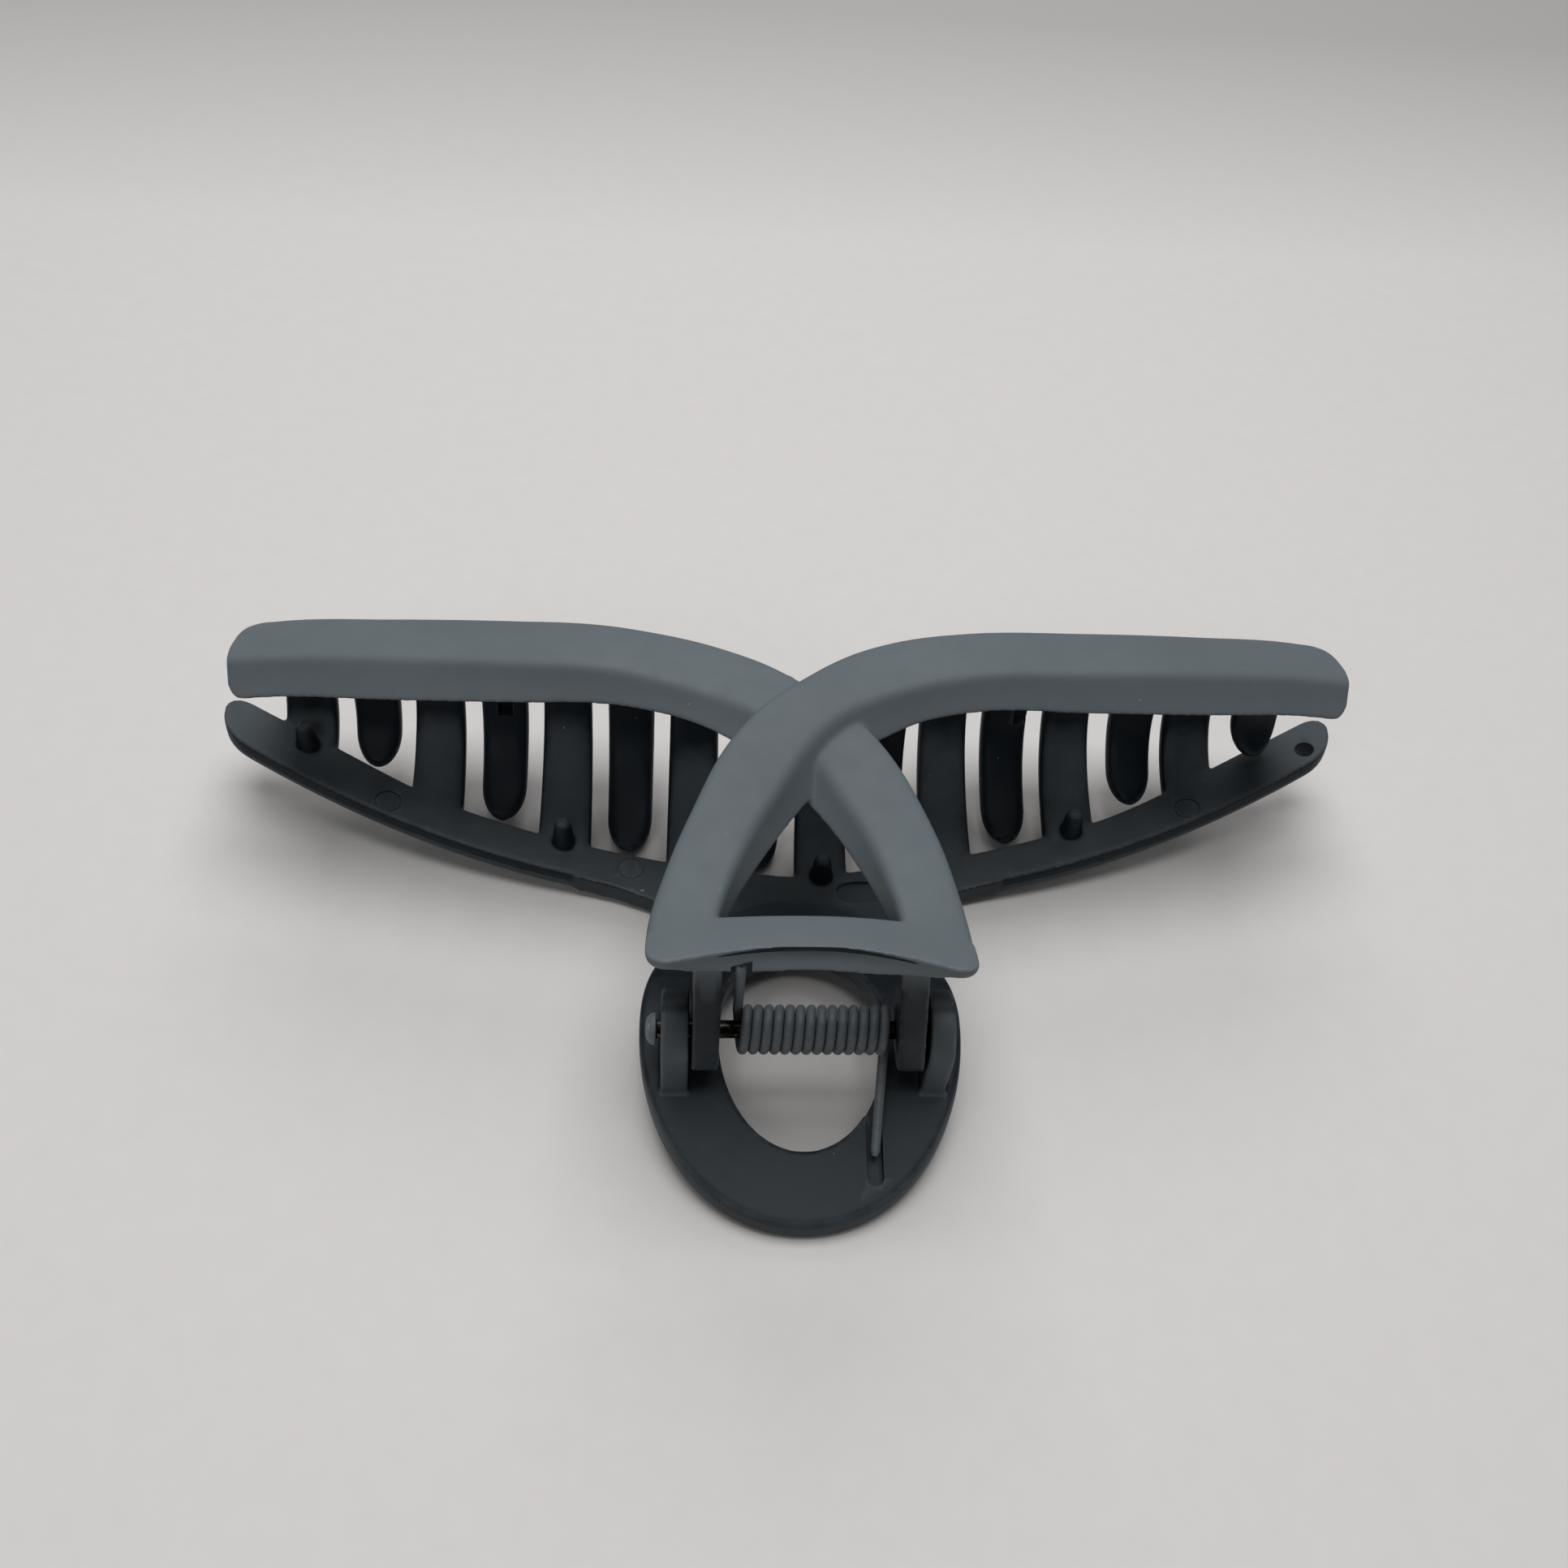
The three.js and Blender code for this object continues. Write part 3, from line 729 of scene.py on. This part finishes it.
def tangent_angle(end, sense):
    """The angle on the coil, from +y toward +z, at which a straight leg leaves for its end."""
    y, rise = end[1], end[2] - HINGE_HEIGHT
    angle = np.arctan2(rise, y) - sense * np.arccos(COIL_RADIUS / np.hypot(y, rise))
    return angle % (2 * np.pi)


def spring_path():
    """The wire's centre line: a straight upper leg, a helix about the hinge that winds down at
    the back and up at the front, and a straight lower leg, each leg on its tangent."""
    first = tangent_angle(UPPER_LEG_END, 1)
    last = tangent_angle(LOWER_LEG_END, -1) - 2 * np.pi * (COIL_TURNS + 1)
    share = np.linspace(0, 1, 32 * COIL_TURNS)
    angle = mix(first, last, share)
    coil = np.stack([mix(COIL_X[0], COIL_X[1], share), COIL_RADIUS * np.cos(angle),
                     HINGE_HEIGHT + COIL_RADIUS * np.sin(angle)], 1)
    step = np.linspace(0, 1, 24)[:-1, None]
    return np.vstack([mix(UPPER_LEG_END, coil[0], step), coil,
                      mix(coil[-1], LOWER_LEG_END, 1 - step[::-1])])


def spring_solid(wire):
    """The wire: a circle carried along the path, with its spokes measured from the x axis, and
    its radius drawn in at the two cut ends."""
    path = spring_path()
    ahead = unit(np.gradient(path, axis=0))
    side = unit(np.array([1.0, 0, 0]) - ahead[:, :1] * ahead)[:, None]
    other = np.cross(ahead, side[:, 0])[:, None]
    cos, sin = (share[None, :, None] for share in circle(14))
    radius = np.full(len(path), wire / 2)
    radius[[0, -1]] *= 0.6
    return wound(path[:, None] + radius[:, None, None] * (cos * side + sin * other))


# ------------------------------ materials

def tinted(colour, share=1.0):
    """A colour made darker or lighter by a share, with full alpha."""
    return (*(channel * share for channel in colour[:3]), 1)


def grain(size):
    """The noise scale that gives blotches of about a size in millimetres: half a cell each."""
    return 0.5 / (size * MM)


def node(tree, kind, inputs=(), out=0, **settings):
    """Adds a node with its settings and links, and gives back one of its outputs. The inputs are
    a dict by name or number, or a tuple in the node's own order; each is a number, a colour or
    another node's output."""
    made = tree.nodes.new(kind)
    for name, value in settings.items():
        setattr(made, name, value)
    for key, value in inputs.items() if isinstance(inputs, dict) else enumerate(inputs):
        if isinstance(value, bpy.types.NodeSocket):
            tree.links.new(made.inputs[key], value)
        else:
            made.inputs[key].default_value = value
    return made.outputs[out] if len(made.outputs) else None


def new_material(name):
    """A material with nothing in its node tree yet."""
    made = bpy.data.materials.new(name)
    made.use_nodes = True
    made.node_tree.nodes.clear()
    return made, made.node_tree


def soft_touch_paint(name, paint, bare):
    """Moulded ABS with a sprayed soft-touch lacquer. The lacquer gives an even, matte, slightly
    powdery slate grey; where the spray didn't reach, the bare dark plastic shows, a little
    glossier. The paint share that spray stores also holds painted shade, which darkens the lugs,
    and painted light, which lifts upward faces. Thin spots, dust and small chips break up the
    coat, and sharply turning edges are made lighter."""
    made, tree = new_material(name)
    where = node(tree, "ShaderNodeTexCoord", out="Object")
    # The paint share: the two-tone coat, with painted shade on the lugs and painted light on upward
    # faces in it
    coat = node(tree, "ShaderNodeAttribute", out="Fac", attribute_name="paint")
    # How sharply the skin turns; the colour is made lighter along these edges below
    rubbed = node(tree, "ShaderNodeAttribute", out="Fac", attribute_name="edge")
    cloudy = node(tree, "ShaderNodeTexNoise", {"Vector": where, "Scale": grain(9), "Detail": 3})
    mottled = node(tree, "ShaderNodeTexNoise", {"Vector": where, "Scale": grain(1.1), "Detail": 4})
    uneven = node(tree, "ShaderNodeMapRange", (mottled, 0.3, 0.7, -0.05, 0.05))
    coat = node(tree, "ShaderNodeMath", (coat, uneven), operation="ADD")
    cover = node(tree, "ShaderNodeMapRange", (coat, 0.1, 0.9))
    clouds = node(tree, "ShaderNodeMapRange", (cloudy, 0.3, 0.7))
    tone = node(tree, "ShaderNodeMix", {0: clouds, 6: tinted(paint, 0.93), 7: tinted(paint, 1.06)},
                out=2, data_type="RGBA")
    thin = node(tree, "ShaderNodeMapRange", (mottled, 0.35, 0.75, 0, 0.35))
    tone = node(tree, "ShaderNodeMix", {0: thin, 6: tone, 7: tinted(paint, 0.86)},
                out=2, data_type="RGBA")
    bloom = node(tree, "ShaderNodeMapRange", (mottled, 0.4, 0.7, 0, 0.3))
    inside = node(tree, "ShaderNodeMix", {0: bloom, 6: tinted(bare), 7: tinted(bare, 1.5)},
                  out=2, data_type="RGBA")
    body = node(tree, "ShaderNodeMix", {0: cover, 6: inside, 7: tone}, out=2, data_type="RGBA")
    # Lighter colour, in patches, along sharply turning edges
    patchy = node(tree, "ShaderNodeMapRange", (mottled, 0.3, 0.7, 0.1, 0.38))
    edge_lightening = node(tree, "ShaderNodeMath", (rubbed, patchy), operation="MULTIPLY")
    body = node(tree, "ShaderNodeMix", {0: edge_lightening, 6: body, 7: tinted(paint, 1.3)},
                out=2, data_type="RGBA")
    # Lint and chips 0.1 to 0.2 mm across, drawn a little larger so that they show
    specks = node(tree, "ShaderNodeTexNoise", {"Vector": where, "Scale": grain(0.45), "Detail": 0})
    chip = node(tree, "ShaderNodeMapRange", (specks, 0.88, 0.91, 0, 0.6))
    body = node(tree, "ShaderNodeMix", {0: chip, 6: body, 7: tinted(linear("#9a9d9f"))},
                out=2, data_type="RGBA")
    sheen = node(tree, "ShaderNodeMapRange", (cover, 0, 1, 0.5, 0.6))
    rough = node(tree, "ShaderNodeMath", (sheen, uneven), operation="ADD")
    # Orange peel about 0.6 mm across over a powder grain of about 0.12 mm, drawn at 0.2 mm
    peel = node(tree, "ShaderNodeTexNoise", {"Vector": where, "Scale": grain(0.6), "Detail": 1})
    powder = node(tree, "ShaderNodeTexNoise", {"Vector": where, "Scale": grain(0.2), "Detail": 1})
    relief = node(tree, "ShaderNodeBump", {"Height": peel, "Strength": 0.05, "Distance": 0.00005})
    relief = node(tree, "ShaderNodeBump", {"Height": powder, "Normal": relief, "Strength": 0.09,
                                           "Distance": 0.00003})
    surface = node(tree, "ShaderNodeBsdfPrincipled", {
        "Base Color": body, "Roughness": rough, "Normal": relief, "IOR": 1.5,
        "Specular IOR Level": 0.2})
    node(tree, "ShaderNodeOutputMaterial", {"Surface": surface})
    return made


def pin_steel(paint):
    """Drawn low-carbon steel wire, headed cold and left oiled: a dark shank, its darkness partly
    painted shade, with dull brown-grey painted glints. The head was painted with the clip, so its
    outside carries the slate lacquer."""
    made, tree = new_material("drawn_steel_pin")
    where = node(tree, "ShaderNodeTexCoord", out="Object")
    along = node(tree, "ShaderNodeSeparateXYZ", (where,))
    edge = HEAD_BACK * MM
    painted = node(tree, "ShaderNodeMapRange", (along, edge + 0.00005, edge - 0.00005))
    mottled = node(tree, "ShaderNodeTexNoise", {"Vector": where, "Scale": grain(0.5), "Detail": 3})
    # Painted glints: lighter patches in the steel's colour; the near-black steel colour is partly
    # painted shade
    painted_glint = node(tree, "ShaderNodeMapRange", (mottled, 0.52, 0.66))
    steel = node(tree, "ShaderNodeMix", {0: painted_glint, 6: tinted(linear("#191817")),
                                         7: tinted(linear("#5f5b52"))}, out=2, data_type="RGBA")
    scuff = node(tree, "ShaderNodeMapRange", (mottled, 0.62, 0.68))
    worn = node(tree, "ShaderNodeMix", {0: scuff, 6: tinted(paint), 7: tinted(linear("#8b8d8e"))},
                out=2, data_type="RGBA")
    body = node(tree, "ShaderNodeMix", {0: painted, 6: steel, 7: worn}, out=2, data_type="RGBA")
    metal = node(tree, "ShaderNodeMapRange", (painted, 0, 1, 1, 0))
    rough = node(tree, "ShaderNodeMapRange", (painted, 0, 1, 0.33, 0.55))
    surface = node(tree, "ShaderNodeBsdfPrincipled", {
        "Base Color": body, "Metallic": metal, "Roughness": rough})
    node(tree, "ShaderNodeOutputMaterial", {"Surface": surface})
    return made


def painted_spring(paint):
    """Music wire sprayed with the clip: the slate lacquer with steel showing in small rubbed
    patches where the turns touch and move."""
    made, tree = new_material("painted_spring_wire")
    where = node(tree, "ShaderNodeTexCoord", out="Object")
    patch = node(tree, "ShaderNodeTexNoise", {"Vector": where, "Scale": grain(0.7), "Detail": 4})
    fine = node(tree, "ShaderNodeTexNoise", {"Vector": where, "Scale": grain(0.25), "Detail": 2})
    powder = node(tree, "ShaderNodeTexNoise", {"Vector": where, "Scale": grain(0.15), "Detail": 1})
    bare = node(tree, "ShaderNodeMapRange", (patch, 0.72, 0.76))
    tone = node(tree, "ShaderNodeMix", {0: fine, 6: tinted(paint, 0.68), 7: tinted(paint, 1.1)},
                out=2, data_type="RGBA")
    body = node(tree, "ShaderNodeMix", {0: bare, 6: tone, 7: tinted(linear("#85878a"))},
                out=2, data_type="RGBA")
    rough = node(tree, "ShaderNodeMapRange", (bare, 0, 1, 0.5, 0.35))
    relief = node(tree, "ShaderNodeBump", {"Height": powder, "Strength": 0.12,
                                           "Distance": 0.00004})
    surface = node(tree, "ShaderNodeBsdfPrincipled", {
        "Base Color": body, "Metallic": bare, "Roughness": rough, "Normal": relief})
    node(tree, "ShaderNodeOutputMaterial", {"Surface": surface})
    return made


def backdrop_paper():
    """Matte white card: an even pale surface with a barely warm tint, greyer toward the back as
    painted shade where the light falls off.
    """
    made, tree = new_material("matte_card")
    where = node(tree, "ShaderNodeTexCoord", out="Object")
    fibre = node(tree, "ShaderNodeTexNoise", {"Vector": where, "Scale": grain(1.5), "Detail": 3})
    card = node(tree, "ShaderNodeMix", {0: fibre, 6: tinted(linear("#d9d6d4")),
                                        7: tinted(linear("#dedbd9"))}, out=2, data_type="RGBA")
    # Painted shade: the card turns greyer toward the back, standing in for light that falls off
    # there
    back = node(tree, "ShaderNodeSeparateXYZ", (where,), out="Y")
    painted_falloff = node(tree, "ShaderNodeMapRange", (back, 0.15, 0.24))
    body = node(tree, "ShaderNodeMix", {0: painted_falloff, 6: card, 7: tinted(linear("#bab8b6"))},
                out=2, data_type="RGBA")
    surface = node(tree, "ShaderNodeBsdfPrincipled", {
        "Base Color": body, "Roughness": 0.75, "Specular IOR Level": 0.25})
    node(tree, "ShaderNodeOutputMaterial", {"Surface": surface})
    return made


def finish_piece(obj, material, body, nodes):
    """Gives a piece its material and its body, and hides the CAD nodes it stands for."""
    obj.data.materials.clear()
    obj.data.materials.append(material)
    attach(obj, body)
    if nodes:
        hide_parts(*nodes)


# ------------------------------ settings

class ClipSizes(bpy.types.PropertyGroup):
    """Sizes that a user would change."""

    grid: bpy.props.FloatProperty(
        name="Moulding grid", description="Cell size on which a jaw's parts are fused",
        default=0.2 * MM, min=0.2 * MM, subtype="DISTANCE", unit="LENGTH", precision=5)
    softness: bpy.props.IntProperty(
        name="Edge softness", description="Relaxing passes that round the moulded edges",
        default=8, min=0, max=30)
    wire: bpy.props.FloatProperty(
        name="Spring wire", description="Diameter of the spring's wire",
        default=0.98 * MM, subtype="DISTANCE", unit="LENGTH", precision=5)


class ClipColours(bpy.types.PropertyGroup):
    """Colours that a user would change."""

    paint: bpy.props.FloatVectorProperty(
        name="Lacquer", description="Slate lacquer on the outer faces",
        default=linear("#646c71"), size=3, subtype="COLOR", min=0, max=1)
    bare: bpy.props.FloatVectorProperty(
        name="Bare plastic", description="Dark plastic where the spray didn't reach",
        default=linear("#121b22"), size=3, subtype="COLOR", min=0, max=1)


def jaw_material():
    """The two jaws share one finish; it is made once and then found by its name."""
    name = "soft_touch_painted_abs"
    colours = bpy.context.scene.clip_colours
    return bpy.data.materials.get(name) or soft_touch_paint(
        name, tuple(colours.paint), tuple(colours.bare))


# ------------------------------ operators

class CLIP_OT_upper_jaw(bpy.types.Operator):
    """Build the upper jaw: crossing ribbons, thumb bar, lugs and eight teeth in one moulding"""

    bl_idname = "clip.upper_jaw"
    bl_label = "Upper jaw"
    # Reach: distances from the hinge and the paint share kept there. The low shares are painted
    # shade: they darken the lugs under the thumb bar toward the bare colour.
    reach = (3, 7, 12, 16.5), (0.28, 0.1, 0.08, 1)
    drift_and_top_light = 0, 0

    def execute(self, context):
        sizes = context.scene.clip_sizes
        outline = lug_outline(*INNER_FEET, round_up=False)
        solids = [ribbon(False, 0.0), ribbon(True, CROSSING_DROP), thumb_bar()]
        solids += [lug(outline, INNER_LUGS[0]), lug(outline, INNER_LUGS[1], LUG_LEAN)]
        solids += [upper_tooth(x) for x in TOOTH_X + TOOTH_OFFSET + smoothstep(TOOTH_X, 15, 45)]
        jaw = moulded("upper_jaw_moulding", solids, sizes.grid, sizes.softness)
        pockets = [self.pocket(*spot) for spot in POCKETS]
        cut(jaw, [hinge_bore(), block(*LEG_NOTCH), lip_groove(), *pockets])
        spray(shade(jaw), self.axis, self.reach, self.drift_and_top_light)
        finish_piece(jaw, jaw_material(), UPPER, ["upper_jaw"])
        return {"FINISHED"}

    @staticmethod
    def axis(x, y):
        """Where the line inside the cage stands: below the bars, and below the thumb frame."""
        return mix(5, 29 + 0.001 * x * x, smoothstep(y, 0, 16))

    @staticmethod
    def pocket(x, z):
        """The cutter for a small square pocket in the inner face of an upper tooth."""
        y = cage_depth(x) - 1.6
        return block((x - 0.85, y - 2.5, z - 1.6), (x + 0.85, y + 1.1, z + 2.5))


class CLIP_OT_lower_jaw(bpy.types.Operator):
    """Build the lower jaw: crescent, neck, finger ring, lugs and eight teeth in one moulding"""

    bl_idname = "clip.lower_jaw"
    bl_label = "Lower jaw"
    # Reach: distances from the hinge and the paint share kept there. The shares near the hinge are
    # painted shade, which darkens the outer lugs under the thumb bar; further out they leave the
    # ring's outer wall mostly bare.
    reach = (3, 9, 14, 20, 60), (0.58, 0.58, 0.3, 0.25, 0.9)
    # Drift and top light: the paint share that upward faces get near the ring and over the
    # crescent; partly fine overspray, partly painted light on lit tops such as the crescent and the
    # pegs.
    drift_and_top_light = 0.17, 0.42

    def execute(self, context):
        sizes = context.scene.clip_sizes
        places = TOOTH_X - TOOTH_OFFSET
        solids = [finger_ring(), crescent(), neck()]
        outline = lug_outline(*OUTER_FEET, round_up=True)
        solids += [lug(outline, span) for span in OUTER_LUGS]
        solids += [lower_tooth(x) for x in places] + [peg(x) for x in places[::2]]
        jaw = moulded("lower_jaw_moulding", solids, sizes.grid, sizes.softness)
        hang_hole = rod((*HANG_HOLE, 0), (*HANG_HOLE, 30), [HANG_HOLE_RADIUS] * 2, 32)
        leg_groove = slot(LOWER_LEG_END[0], y_from=-11.3, y_to=-2.0, half=0.82, depth=1.2)
        marks = [ejector_mark(*spot) for spot in EJECTOR_MARKS]
        hollow = recess(8.2, 23.8, half_long=3.0, half_wide=1.5, depth=0.5)
        cut(jaw, [hinge_bore(), hang_hole, leg_groove, *marks, hollow])
        line = object_of("parting_line", parting_line())
        for piece, nodes in ((jaw, ["lower_jaw"]), (line, [])):
            spray(shade(piece), self.axis, self.reach, self.drift_and_top_light)
            finish_piece(piece, jaw_material(), LOWER, nodes)
        return {"FINISHED"}

    @staticmethod
    def axis(x, y):
        """Where the line inside the cage stands: over the crescent, which bows back."""
        return 26 + 0.0035 * x * x


class CLIP_OT_hinge_pin(bpy.types.Operator):
    """Build the headed pin that the two jaws turn on"""

    bl_idname = "clip.hinge_pin"
    bl_label = "Hinge pin"

    def execute(self, context):
        pin = shade(object_of("headed_pin", pin_solid()), 40)
        finish_piece(pin, pin_steel(tuple(context.scene.clip_colours.paint)), LOWER,
                     ["hinge_pin"])
        return {"FINISHED"}


class CLIP_OT_torsion_spring(bpy.types.Operator):
    """Wind the torsion spring"""

    bl_idname = "clip.torsion_spring"
    bl_label = "Torsion spring"

    def execute(self, context):
        spring = object_of("wound_spring", spring_solid(context.scene.clip_sizes.wire / MM))
        spring = shade(spring, 60)
        paint = tuple(context.scene.clip_colours.paint)
        spring.data.materials.append(painted_spring(paint))
        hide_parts("torsion_spring")
        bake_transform(spring)
        return {"FINISHED"}


class CLIP_OT_stage(bpy.types.Operator):
    """Lay the floor, hang the lights and set the camera"""

    bl_idname = "clip.stage"
    bl_label = "Floor, lights and camera"

    # Camera: where it stands, in clip coordinates, and how it is turned
    eye = (-12.2, -80.8, 142.7)
    yaw = np.radians(5.73)
    roll = np.radians(5.25)
    elevation = np.radians(49.16)
    lens = 36.1
    sensor = 36

    # Each softbox: its name, where its middle hangs, its size, and its power in watts
    softboxes = (("overhead_softbox", (0, 70, 620), (440, 400), 2.85),
                 ("rear_softbox", (0, 560, 560), (500, 300), 1.2),
                 ("front_fill", (-220, -420, 480), (320, 240), 0.45))
    air_strength = 0.06

    def execute(self, context):
        self.floor()
        for softbox in self.softboxes:
            self.light(*softbox)
        world = bpy.data.worlds.new("studio_air")
        world.use_nodes = True
        background = world.node_tree.nodes["Background"]
        background.inputs["Color"].default_value = (*linear("#f4f6f8"), 1)
        background.inputs["Strength"].default_value = self.air_strength
        context.scene.world = world
        context.scene.view_settings.view_transform = "Standard"
        self.camera(context.scene)
        return {"FINISHED"}

    @staticmethod
    def floor():
        """A square of card, centred under the clip."""
        half = 1500.0
        corners = place([(-half, -half, 0), (half, -half, 0), (half, half, 0), (-half, half, 0)])
        mesh = bpy.data.meshes.new("floor")
        mesh.from_pydata(corners, [], [(0, 1, 2, 3)])
        mesh.materials.append(backdrop_paper())
        added("floor", mesh)

    @staticmethod
    def standing(spot, right, up, back):
        """The matrix of a thing at a spot, with its own x, y and z along three directions."""
        return Matrix.Translation(place(spot)) @ Matrix(np.column_stack([right, up, back])).to_4x4()

    def light(self, name, spot, size, power_watts):
        """A rectangular softbox at a spot, aimed at the clip."""
        lamp = bpy.data.lights.new(name, "AREA")
        lamp.shape = "RECTANGLE"
        lamp.size, lamp.size_y = size[0] * MM, size[1] * MM
        lamp.energy = power_watts
        away = unit(place(spot) - place((0, 20, 10)))
        right = unit(np.cross([0, 1, 0.01], away))
        added(name, lamp).matrix_world = self.standing(spot, right, np.cross(away, right), away)

    def camera(self, scene):
        """The view: level elevation and yaw first, then a roll about the line of sight."""
        level = np.cos(self.elevation)
        sight = np.array([np.sin(self.yaw) * level, np.cos(self.yaw) * level,
                          -np.sin(self.elevation)])
        right = np.array([np.cos(self.yaw), -np.sin(self.yaw), 0])
        up = np.cross(right, sight)
        tilted = right * np.cos(self.roll) + up * np.sin(self.roll)
        upright = -right * np.sin(self.roll) + up * np.cos(self.roll)
        data = bpy.data.cameras.new("camera")
        data.sensor_width = self.sensor
        data.lens = self.lens
        data.clip_start = 10 * MM
        camera = added("camera", data)
        camera.matrix_world = self.standing(self.eye, tilted, upright, -sight)
        scene.camera = camera


STEPS = (CLIP_OT_stage, CLIP_OT_upper_jaw, CLIP_OT_lower_jaw, CLIP_OT_hinge_pin,
         CLIP_OT_torsion_spring)


class CLIP_PT_panel(bpy.types.Panel):
    """Lists the pieces of the clip in the 3D view's sidebar"""

    bl_idname = "CLIP_PT_panel"
    bl_label = "Claw clip"
    bl_space_type = "VIEW_3D"
    bl_region_type = "UI"
    bl_category = "Claw clip"

    def draw(self, context):
        column = self.layout.column()
        for group in (context.scene.clip_sizes, context.scene.clip_colours):
            for name in group.__annotations__:
                column.prop(group, name)
        for step in STEPS:
            column.operator(step.bl_idname)


CLASSES = (ClipSizes, ClipColours, *STEPS, CLIP_PT_panel)


def register():
    """Adds the classes to Blender, and the two groups of settings to the scene."""
    for cls in CLASSES:
        bpy.utils.register_class(cls)
    bpy.types.Scene.clip_sizes = bpy.props.PointerProperty(type=ClipSizes)
    bpy.types.Scene.clip_colours = bpy.props.PointerProperty(type=ClipColours)


def unregister():
    """Takes out what register added, in the opposite order."""
    del bpy.types.Scene.clip_colours
    del bpy.types.Scene.clip_sizes
    for cls in reversed(CLASSES):
        bpy.utils.unregister_class(cls)


def main():
    """Builds the stage and every piece."""
    register()
    bpy.ops.clip.stage()
    bpy.ops.clip.upper_jaw()
    bpy.ops.clip.lower_jaw()
    bpy.ops.clip.hinge_pin()
    bpy.ops.clip.torsion_spring()


if __name__ == "__main__":
    main()
